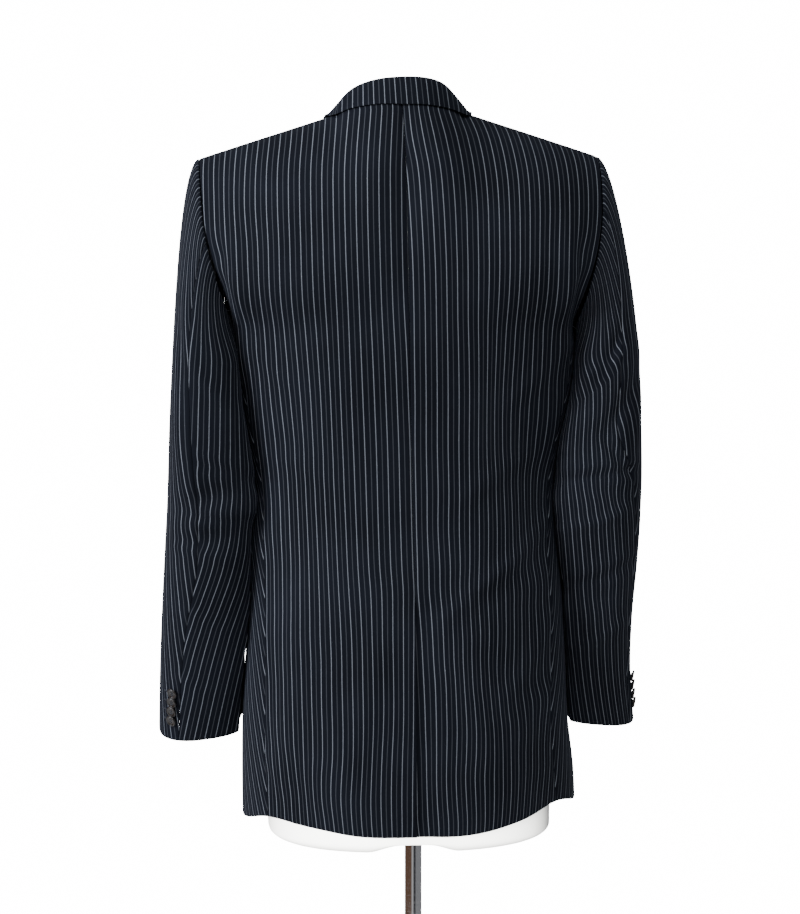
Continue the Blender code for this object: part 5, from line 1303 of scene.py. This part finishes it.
def button_blank(radius, height):
    """Four-hole button with a rounded rim and a sunk middle, as a plain mesh at the origin."""
    profile = [(0.66, 0.0), (0.90, 0.12), (0.97, 0.30), (1.0, 0.50), (1.0, 0.66), (0.975, 0.84),
               (0.93, 0.96), (0.87, 1.0), (0.80, 0.98), (0.74, 0.90), (0.68, 0.78), (0.60, 0.70),
               (0.45, 0.66), (0.25, 0.64)]
    vertices, faces = turned([(radius * r, height * h) for r, h in profile], 48)
    blank = add_piece("button_blank", vertices, faces, [])
    drills = bmesh.new()
    for x in (-1, 1):
        for y in (-1, 1):
            made = bmesh.ops.create_cone(drills, cap_ends=True, segments=14, radius1=radius * 0.105,
                                         radius2=radius * 0.105, depth=height * 3)
            bmesh.ops.translate(drills, verts=made["verts"],
                                vec=(x * radius * 0.21, y * radius * 0.21, height * 0.5))
    mesh = bpy.data.meshes.new("drills")
    drills.to_mesh(mesh)
    drills.free()
    drill = linked("drills", mesh)
    cut = blank.modifiers.new("holes", "BOOLEAN")
    cut.object, cut.solver = drill, "EXACT"
    result = evaluated_mesh(blank)
    bpy.data.objects.remove(blank)
    bpy.data.objects.remove(drill)
    vertices = np.array([v.co for v in result.vertices])
    return vertices, [list(face.vertices) for face in result.polygons]


def strand(start, end, radius, arch):
    """Vertices and faces of one arched thread between two points."""
    t = np.linspace(0, 1, 7)[:, None]
    line = mix(start, end, t) + np.array([0, 0, 1.0]) * (arch * np.sin(math.pi * t))
    ahead = unit(np.gradient(line, axis=0))
    first = unit(np.cross(ahead, [0, 0, 1.0]))
    second = np.cross(ahead, first)
    angle = np.arange(6) * math.pi / 3
    vertices = [line[i] + radius * (math.cos(a) * first[i] + math.sin(a) * second[i])
                for i in range(7) for a in angle]
    return vertices, rings_of_quads(7, 6) + [list(reversed(range(6))), list(range(36, 42))]


def make_button(name, node_name, blank, size, spot, axis, upward, materials, shank):
    """One sewn-on button: the blank, its crossed threads and the shank under it."""
    radius, height = size
    vertices, faces = blank[0].copy(), [list(face) for face in blank[1]]
    kinds = [0] * len(faces)
    hole = radius * 0.21
    for k in (-1.2, 0, 1.2):
        for y in (-1, 1):
            shift = np.array([0, k * radius * 0.045, 0])
            start = np.array([-hole, y * hole, height * 0.50]) + shift
            tube, sides = strand(start, start * (-1, 1, 1), radius * 0.035, height * 0.30)
            faces += [[v + len(vertices) for v in face] for face in sides]
            vertices = np.concatenate([vertices, tube])
            kinds += [1] * len(sides)
    stem = radius * (0.50 if size == CUFF_BUTTON else 0.24)
    tube, sides = turned([(stem, -shank), (stem * 0.9, height * 0.2)], 12)
    faces += [[v + len(vertices) for v in face] for face in sides]
    vertices = np.concatenate([vertices, tube])
    kinds += [1] * len(sides)
    axis = unit(np.asarray(axis, float))
    first = unit(np.cross(upward, axis))
    second = np.cross(axis, first)
    placed_ = spot + vertices @ np.array([first, second, axis])
    piece = add_piece(name, placed_, faces, materials, face_material=kinds, sharp=60)
    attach(piece, "root")
    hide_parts(node_name)
    return piece


# ---------------------------------------------------------------- form and stand
def form_half(side, neck, shoulder, across, low_rows, high_rows):
    """Rows of form points from centre back to centre front, hem level up to the neck base."""
    back_u = np.concatenate([np.linspace(0, NECK_SHARE, neck + 1),
                             np.linspace(NECK_SHARE, 1, shoulder + 1)[1:]])
    front_u = back_u[::-1]
    rows = []
    for z in np.linspace(FORM_HEM_Z, ARMPIT_Z, low_rows):
        corners = float(back_seam[side](z)), float(back_seam[side](z) + side_width(z))
        whole = float(girth(side, z))
        arcs = np.concatenate([back_u * corners[0], np.linspace(*corners, across + 1)[1:-1],
                               whole - front_u * (whole - corners[1])])
        small = 0.002
        point = ring(side, arcs, np.full(arcs.shape, z))
        tangent = ring(side, arcs + small, z) - ring(side, arcs - small, z)
        normal = unit(np.stack([tangent[:, 1], -tangent[:, 0], np.zeros(len(arcs))], -1) * side)
        normal[[0, -1]] = [[0, -1, 0], [0, 1, 0]]
        rows.append(point - normal * ease(z))
    for w in np.linspace(0, 1, high_rows)[1:]:
        rest = mix(NECK_GAP, REST_GAP, smooth((back_u - NECK_SHARE + 0.02) / 0.20))
        gaps = mix(float(ease(ARMPIT_Z)), rest, smooth(w / 0.9))
        halves = []
        for face, us, gap in (("back", back_u, gaps), ("front", front_u, gaps[::-1])):
            point, normal = upper_surface(side, face, us, np.full(us.shape, w), fine=False)
            point = point - normal * (fold_rise(face, point, fine=False) + gap)[:, None]
            halves.append(point)
        bridge = [mix(halves[0][-1], halves[1][0], k / across) for k in range(1, across)]
        rows.append(np.concatenate([halves[0], np.array(bridge), halves[1]]))
    return np.array(rows)


def make_form(material):
    """The form: its body with the lobed underside, and the neck rising from it to a flat top."""
    neck, shoulder, across, low_rows, high_rows = 10, 26, 10, 60, 36
    left, right = (form_half(side, neck, shoulder, across, low_rows, high_rows) for side in SIDES)
    loop = np.concatenate([right, left[:, -2:0:-1]], axis=1)
    for _ in range(6):
        band = loop[low_rows - 8:low_rows + 8].copy()
        band[1:-1] = (band[:-2] + 2 * band[1:-1] + band[2:]) / 4
        loop[low_rows - 8:low_rows + 8] = band
    count = loop.shape[1]
    low, centre = loop[0], np.array([lean(FORM_HEM_Z), 0.0, FORM_HEM_Z])
    bottoms = []
    for scale in np.concatenate([np.linspace(0.02, 0.88, 28), (0.92, 0.95, 0.97, 0.985, 0.995)]):
        points = mix(centre, low, scale)
        lobes = 0.25 + 0.75 * smooth((np.abs(points[:, 0] - centre[0]) - 0.012) / 0.040)
        lobes = mix(0.25, lobes, smooth((scale - 0.22) / 0.15))
        points[:, 2] = FORM_HEM_Z - (FORM_HEM_Z - FORM_BOTTOM_Z) * math.sqrt(1 - scale ** 5) * lobes
        bottoms.append(points)
    grid = np.concatenate([np.array(bottoms), loop])
    vertices = grid.reshape(-1, 3).tolist()
    faces = rings_of_quads(len(grid), count) + [list(range(count - 1, -1, -1))]
    half_count, top = len(left[0]), (len(grid) - 1) * count
    neck_loop = (list(range(0, neck + 1)) + list(range(half_count - 1 - neck, half_count))
                 + list(range(half_count, half_count + neck)) + list(range(count - neck, count)))
    base = np.array([grid[-1][k] for k in neck_loop])
    centre = np.array([lean(NECK_TOP_Z), -0.012, 0])
    angle = 2 * math.pi * np.arange(len(base)) / len(base)
    spokes = np.stack([np.sin(angle), -np.cos(angle), np.zeros(len(base))], axis=-1)
    rim = centre + spokes * NECK_RADIUS + np.array([0, 0, NECK_TOP_Z - 0.012])
    steps = [mix(base, rim, f) for f in (0.25, 0.5, 0.75, 1.0)]
    for scale, drop in ((0.99, 0.008), (0.965, 0.005), (0.92, 0.0025), (0.85, 0.001), (0.6, 0.0), (0.3, 0.0)):
        steps.append(centre + spokes * NECK_RADIUS * scale + np.array([0, 0, NECK_TOP_Z - drop]))
    previous = [top + k for k in neck_loop]
    for points in steps:
        current = list(range(len(vertices), len(vertices) + len(base)))
        vertices += points.tolist()
        faces += [[previous[k], previous[(k + 1) % len(base)], current[(k + 1) % len(base)], current[k]]
                  for k in range(len(base))]
        previous = current
    faces.append(previous)
    mesh = bpy.data.meshes.new("dress_form_torso")
    mesh.from_pydata(vertices, [], faces)
    work = bmesh.new()
    work.from_mesh(mesh)
    bmesh.ops.remove_doubles(work, verts=work.verts, dist=0.0001)
    bmesh.ops.dissolve_degenerate(work, edges=work.edges, dist=0.00002)
    bmesh.ops.recalc_face_normals(work, faces=work.faces)
    work.to_mesh(mesh)
    work.free()
    mesh.shade_smooth()
    mesh.set_sharp_from_angle(angle=math.radians(60))
    mesh.materials.append(material)
    form = linked("dress_form_torso", mesh)
    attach(form, "root")
    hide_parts("form_torso")
    return form


def make_stand(material):
    """The pole under the form and the round base with its hub."""
    under = FORM_HEM_Z - (FORM_HEM_Z - FORM_BOTTOM_Z) * math.sqrt(1 - 0.22 ** 5) * 0.25
    low, high = HUB_TOP_Z + SEAM, under - SEAM
    pole = [(POLE_RADIUS - 0.0008, low), (POLE_RADIUS, low + 0.0008)]
    pole += [(POLE_RADIUS, mix(low, high, f)) for f in (0.25, 0.5, 0.75)]
    pole += [(POLE_RADIUS, high - 0.0008), (POLE_RADIUS - 0.0008, high)]
    plate = [(BASE_RADIUS - 0.001, 0.0), (BASE_RADIUS, 0.001), (BASE_RADIUS, BASE_EDGE),
             (BASE_RADIUS - 0.0007, BASE_EDGE + 0.0016), (BASE_RADIUS - 0.004, BASE_EDGE + 0.003)]
    for share in np.linspace(0.95, 0.16, 18):
        plate.append((BASE_RADIUS * share, BASE_EDGE + 0.003 + BASE_DOME * (1 - share) ** 1.4))
    plate += [(HUB_RADIUS + 0.0015, 0.0215), (HUB_RADIUS, 0.0235), (HUB_RADIUS * 0.86, HUB_TOP_Z - 0.004),
              (HUB_RADIUS * 0.82, HUB_TOP_Z - 0.0015), (HUB_RADIUS * 0.72, HUB_TOP_Z - 0.0003),
              (HUB_RADIUS * 0.60, HUB_TOP_Z)]
    for name, node_name, profile in (("stand_pole", "pole", pole), ("stand_base", "base", plate)):
        vertices, faces = turned(profile, 96)
        piece = add_piece(name, vertices, faces, [material], sharp=40)
        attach(piece, "root")
        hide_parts(node_name)


# ---------------------------------------------------------------- settings and operators
class SuitSettings(bpy.types.PropertyGroup):
    """Sizes and colours of the jacket and its stand."""
    step: FloatProperty(name="Mesh step", description="Cell size of the cloth meshes",
                        default=0.0038, min=0.002, max=0.02, unit="LENGTH")
    stripe_pitch: FloatProperty(name="Stripe pitch", description="Distance between bright stripes",
                                default=STRIPE_PITCH, min=0.004, max=0.03, unit="LENGTH")
    stripe_width: FloatProperty(name="Stripe width", description="Width of a bright stripe",
                                default=0.0009, min=0.0003, max=0.004, unit="LENGTH")
    faint_stripe: FloatProperty(name="Faint stripe", description="Strength of the stripe between",
                                default=0.20, min=0.0, max=1.0, subtype="FACTOR")
    cloth_color: FloatVectorProperty(name="Cloth", description="Ground colour of the wool",
                                     default=(0.0075, 0.0092, 0.0142), subtype="COLOR", min=0, max=1)
    stripe_color: FloatVectorProperty(name="Stripe", description="Colour of the stripes",
                                      default=(0.240, 0.262, 0.300), subtype="COLOR", min=0, max=1)
    lining_color: FloatVectorProperty(name="Lining", description="Colour of the lining",
                                      default=(0.012, 0.015, 0.026), subtype="COLOR", min=0, max=1)
    thread_color: FloatVectorProperty(name="Thread", description="Colour of the stitches",
                                      default=(0.012, 0.015, 0.024), subtype="COLOR", min=0, max=1)
    button_color: FloatVectorProperty(name="Buttons", description="Darkest colour of the horn",
                                      default=(0.010, 0.008, 0.007), subtype="COLOR", min=0, max=1)
    form_color: FloatVectorProperty(name="Form", description="Colour of the dress form",
                                    default=(0.80, 0.80, 0.78), subtype="COLOR", min=0, max=1)
    metal_color: FloatVectorProperty(name="Steel", description="Colour of the pole and base",
                                     default=(0.66, 0.66, 0.68), subtype="COLOR", min=0, max=1)
    pick_spacing: FloatProperty(name="Pick stitch spacing", description="Distance between edge stitches",
                                default=0.0055, min=0.002, max=0.02, unit="LENGTH")


def cloth_set():
    """The settings, the mesh step and the materials of the cloth's outside and inside."""
    settings = bpy.context.scene.suit
    return settings, settings.step, [worsted(settings), lining(settings)]


class SUIT_OT_backs(bpy.types.Operator):
    """Both back panels, with the centre seam and the vent"""
    bl_idname = "suit.backs"
    bl_label = "Back panels"

    def execute(self, context):
        _, step, materials = cloth_set()
        for side in SIDES:
            finish_cloth(make_back(side, step, materials), "back_" + SIDE_NAME[side])
        return {"FINISHED"}


class SUIT_OT_sides(bpy.types.Operator):
    """Both side bodies"""
    bl_idname = "suit.sides"
    bl_label = "Side bodies"

    def execute(self, context):
        _, step, materials = cloth_set()
        for side in SIDES:
            finish_cloth(make_side(side, step, materials), "side_" + SIDE_NAME[side])
        return {"FINISHED"}


class SUIT_OT_fronts(bpy.types.Operator):
    """Both fronts, with the stitched buttonholes of the left one"""
    bl_idname = "suit.fronts"
    bl_label = "Fronts"

    def execute(self, context):
        settings, step, materials = cloth_set()
        holes = []
        for z in FRONT_BUTTON_Z.values():
            holes.append(lower_surface(LEFT, girth(LEFT, z) + np.linspace(*FRONT_HOLE), z))
        purl = stitched("front_buttonholes", holes, *FRONT_PURL, math.pi / 2, thread(settings))
        for side in SIDES:
            finish_cloth(make_front(side, step, materials), "front_" + SIDE_NAME[side])
        return {"FINISHED"}


class SUIT_OT_lapels(bpy.types.Operator):
    """Both lapels with their edge stitches"""
    bl_idname = "suit.lapels"
    bl_label = "Lapels"

    def execute(self, context):
        settings, step, materials = cloth_set()
        for side in SIDES:
            piece, point, normal = make_lapel(side, step, materials)
            rows = [(point[4:-4, -6], normal[4:-4, -6]), (point[-6, 6:-5], normal[-6, 6:-5])]
            picks = stitched("lapel_edge_stitches_" + SIDE_NAME[side], rows, settings.pick_spacing,
                             *PICK, 0.0, thread(settings))
            finish_cloth(piece, "lapel_" + SIDE_NAME[side])
        return {"FINISHED"}


class SUIT_OT_collar(bpy.types.Operator):
    """The collar, with its fall and stand in one folded piece"""
    bl_idname = "suit.collar"
    bl_label = "Collar"

    def execute(self, context):
        _, step, materials = cloth_set()
        finish_cloth(make_collar(step, materials), "collar")
        return {"FINISHED"}


class SUIT_OT_flaps(bpy.types.Operator):
    """Both pocket flaps with their edge stitches"""
    bl_idname = "suit.flaps"
    bl_label = "Pocket flaps"

    def execute(self, context):
        settings, step, materials = cloth_set()
        for side in SIDES:
            piece, point, normal = make_flap(side, step, materials)
            rows = [(point[-6, 4:-4], normal[-6, 4:-4])]
            picks = stitched("flap_edge_stitches_" + SIDE_NAME[side], rows, settings.pick_spacing,
                             *PICK, 0.0, thread(settings))
            finish_cloth(piece, "flap_" + SIDE_NAME[side])
        return {"FINISHED"}


def cuff_spot(side, height, forward=0.0):
    """Point, normal and upward direction on a cuff, forward of the button's place."""
    rise = np.array([height / (SLEEVE_TOP_Z - CUFFS[side][0])])
    around = sleeve_seam(side, rise)[0] - (CUFF_BUTTON_INSET[side] + forward) / SLEEVE_GIRTH
    point, normal = sleeve_grid(side, around, rise)
    above, _ = sleeve_grid(side, around, rise + 0.01)
    return point[0], normal[0], unit(above[0] - point[0])


class SUIT_OT_sleeves(bpy.types.Operator):
    """Both sleeves, each of an outer and an inner piece, with stitched cuff buttonholes"""
    bl_idname = "suit.sleeves"
    bl_label = "Sleeves"

    def execute(self, context):
        settings, step, materials = cloth_set()
        for side in SIDES:
            holes = []
            for height in CUFF_BUTTON_Z:
                points, normals, _ = zip(*(cuff_spot(side, height, at) for at in np.linspace(*CUFF_HOLE)))
                holes.append((np.array(points), np.array(normals)))
            purl = stitched("cuff_buttonholes_" + SIDE_NAME[side], holes, *CUFF_PURL, math.pi / 2,
                            thread(settings))
            for part in ("top", "under"):
                finish_cloth(make_sleeve(side, part, step, materials), part + "_sleeve_" + SIDE_NAME[side])
        return {"FINISHED"}


class SUIT_OT_buttons(bpy.types.Operator):
    """Two front buttons and four kissing buttons on each cuff"""
    bl_idname = "suit.buttons"
    bl_label = "Buttons"

    def execute(self, context):
        settings = bpy.context.scene.suit
        materials = [horn(settings), thread(settings)]
        blank = button_blank(*FRONT_BUTTON)
        for label, z in FRONT_BUTTON_Z.items():
            spot = lower_surface(LEFT, np.array([girth(LEFT, z)]), np.array([z]))
            point, normal = (grid[0] for grid in spot)
            make_button("front_" + label + "_horn_button", "front_button_" + label, blank, FRONT_BUTTON,
                        point + normal * 2 * SEAM, normal, (0, 0, 1), materials, SEAM)
        blank = button_blank(*CUFF_BUTTON)
        for side in SIDES:
            for k, height in enumerate(CUFF_BUTTON_Z):
                point, normal, upward = cuff_spot(side, height)
                axis = math.cos(CUFF_BUTTON_TILT) * normal - math.sin(CUFF_BUTTON_TILT) * upward
                lift = 1.5 * SEAM + CUFF_BUTTON[0] * 0.70 * math.sin(CUFF_BUTTON_TILT)
                make_button("cuff_horn_button_%s_%d" % (SIDE_NAME[side], k + 1),
                            "cuff_button_%s_%d" % (SIDE_NAME[side], k + 1), blank, CUFF_BUTTON,
                            point + normal * lift, axis, upward, materials, lift - 2 * SEAM)
        return {"FINISHED"}


class SUIT_OT_form(bpy.types.Operator):
    """The limbless dress form with its pole and base"""
    bl_idname = "suit.form"
    bl_label = "Dress form and stand"

    def execute(self, context):
        settings = bpy.context.scene.suit
        make_form(form_shell(settings))
        make_stand(chrome(settings))
        return {"FINISHED"}


# ---------------------------------------------------------------- stage
CAMERA_PLACE, CAMERA_TARGET = (-0.1883, -2.3926, 1.34), (-0.01509, 0.0, 1.1097)
CAMERA_LENS, CAMERA_SENSOR = 96.6, 36.0
FLOOR_RADIUS, FLOOR_CORNERS, FLOOR_COLOR = 1.7, 96, (0.86, 0.86, 0.85, 1)
ROOM_LIGHT, PAPER_WHITE = 0.50, 16.0         # the room's light, and the white sweep behind the stand
# the room seen in the steel, from its left to its right: place, colour
ROOM = ((0.0, (0.30, 0.17, 0.11)), (0.18, (0.30, 0.17, 0.11)), (0.24, (1.0, 1.0, 1.0)),
        (0.47, (1.0, 1.0, 1.0)), (0.51, (0.10, 0.10, 0.11)), (0.80, (0.12, 0.12, 0.13)),
        (0.86, (0.55, 0.56, 0.58)), (1.0, (0.55, 0.56, 0.58)))
# name, place, target, size, power, colour
LIGHTS = (
    ("key", (-2.9, -1.3, 2.1), (0, 0, 1.15), 1.5, 126, (0.88, 0.92, 1.0)),
    ("top", (0.10, -1.9, 3.3), (0.08, 0, 1.38), 1.2, 44, (0.95, 0.97, 1.0)),
)
FORM_LIGHT = ("form_light", (-0.9, -2.5, 0.9), (0, 0, 0.8), 1.4, 700, (1.0, 1.0, 0.97))


def aimed(name, data, place, target):
    """Lamp or camera at a place, turned to a point."""
    thing = linked(name, data)
    thing.location = place
    thing.rotation_euler = (Vector(target) - Vector(place)).to_track_quat("-Z", "Y").to_euler()
    return thing


def softbox(name, place, target, size, power, color):
    """Square area light that faces a point."""
    lamp = bpy.data.lights.new(name, "AREA")
    lamp.energy, lamp.size, lamp.color = power, size, color
    return aimed(name, lamp, place, target)


class SUIT_OT_stage(bpy.types.Operator):
    """Pale floor, soft studio lights and the camera"""
    bl_idname = "suit.stage"
    bl_label = "Stage"

    def execute(self, context):
        scene = context.scene
        angle = np.linspace(0, 2 * math.pi, FLOOR_CORNERS, endpoint=False)
        rim = np.stack([FLOOR_RADIUS * np.cos(angle), FLOOR_RADIUS * np.sin(angle),
                        np.full(FLOOR_CORNERS, -0.0005)], axis=-1)
        floor = add_piece("pale_floor", rim, [list(range(FLOOR_CORNERS))], [])
        paint = bpy.data.materials.new("pale_floor_paint")
        paint.use_nodes = True
        shader = paint.node_tree.nodes["Principled BSDF"]
        shader.inputs["Base Color"].default_value = FLOOR_COLOR
        shader.inputs["Roughness"].default_value = 0.9
        floor.data.materials.append(paint)
        world = bpy.data.worlds.new("white_studio")
        world.use_nodes = True
        tree = world.node_tree
        sky = tree.nodes["Background"]
        seen = node(tree, "ShaderNodeLightPath").outputs["Is Camera Ray"]
        strength = node(tree, "ShaderNodeMapRange",
                        {"Value": seen, "To Min": ROOM_LIGHT, "To Max": PAPER_WHITE})
        tree.links.new(strength.outputs[0], sky.inputs["Strength"])
        way = node(tree, "ShaderNodeSeparateXYZ", {0: node(tree, "ShaderNodeTexCoord").outputs["Generated"]})
        zones = node(tree, "ShaderNodeValToRGB", {"Fac": ramp(tree, way.outputs[0], -1.0, 1.0)})
        for place, color in ROOM[1:-1]:
            zones.color_ramp.elements.new(place).color = (*color, 1)
        for index in (0, -1):
            zones.color_ramp.elements[index].color = (*ROOM[index][1], 1)
        tree.links.new(tint(tree, seen, zones.outputs[0], (1.0, 1.0, 1.0)), sky.inputs["Color"])
        scene.world = world
        for light in LIGHTS:
            softbox(*light)
        shell = bpy.data.collections.new("form_lit_on_its_own")
        shell.objects.link(bpy.data.objects["dress_form_torso"])
        softbox(*FORM_LIGHT).light_linking.receiver_collection = shell
        camera = bpy.data.cameras.new("camera")
        camera.lens, camera.sensor_width, camera.sensor_fit = CAMERA_LENS, CAMERA_SENSOR, "HORIZONTAL"
        camera.clip_end = 60
        scene.camera = aimed("camera", camera, CAMERA_PLACE, CAMERA_TARGET)
        return {"FINISHED"}


class SUIT_PT_panel(bpy.types.Panel):
    """Sizes and colours of the suit jacket and the buttons that build it"""
    bl_idname = "SUIT_PT_panel"
    bl_label = "Pinstripe suit jacket"
    bl_space_type = "VIEW_3D"
    bl_region_type = "UI"
    bl_category = "Suit"

    def draw(self, context):
        for name in SuitSettings.__annotations__:
            self.layout.prop(context.scene.suit, name)
        for operator in OPERATORS:
            self.layout.operator(operator.bl_idname)


OPERATORS = (SUIT_OT_backs, SUIT_OT_sides, SUIT_OT_fronts, SUIT_OT_lapels, SUIT_OT_collar,
             SUIT_OT_flaps, SUIT_OT_sleeves, SUIT_OT_buttons, SUIT_OT_form, SUIT_OT_stage)
CLASSES = (SuitSettings, *OPERATORS, SUIT_PT_panel)


def register():
    for kind in CLASSES:
        bpy.utils.register_class(kind)
    bpy.types.Scene.suit = PointerProperty(type=SuitSettings)


def unregister():
    del bpy.types.Scene.suit
    for kind in reversed(CLASSES):
        bpy.utils.unregister_class(kind)


def main():
    """Builds every group of pieces and the stage."""
    register()
    bpy.ops.suit.backs()
    bpy.ops.suit.sides()
    bpy.ops.suit.fronts()
    bpy.ops.suit.lapels()
    bpy.ops.suit.collar()
    bpy.ops.suit.flaps()
    bpy.ops.suit.sleeves()
    bpy.ops.suit.buttons()
    bpy.ops.suit.form()
    bpy.ops.suit.stage()


if __name__ == "__main__":
    main()
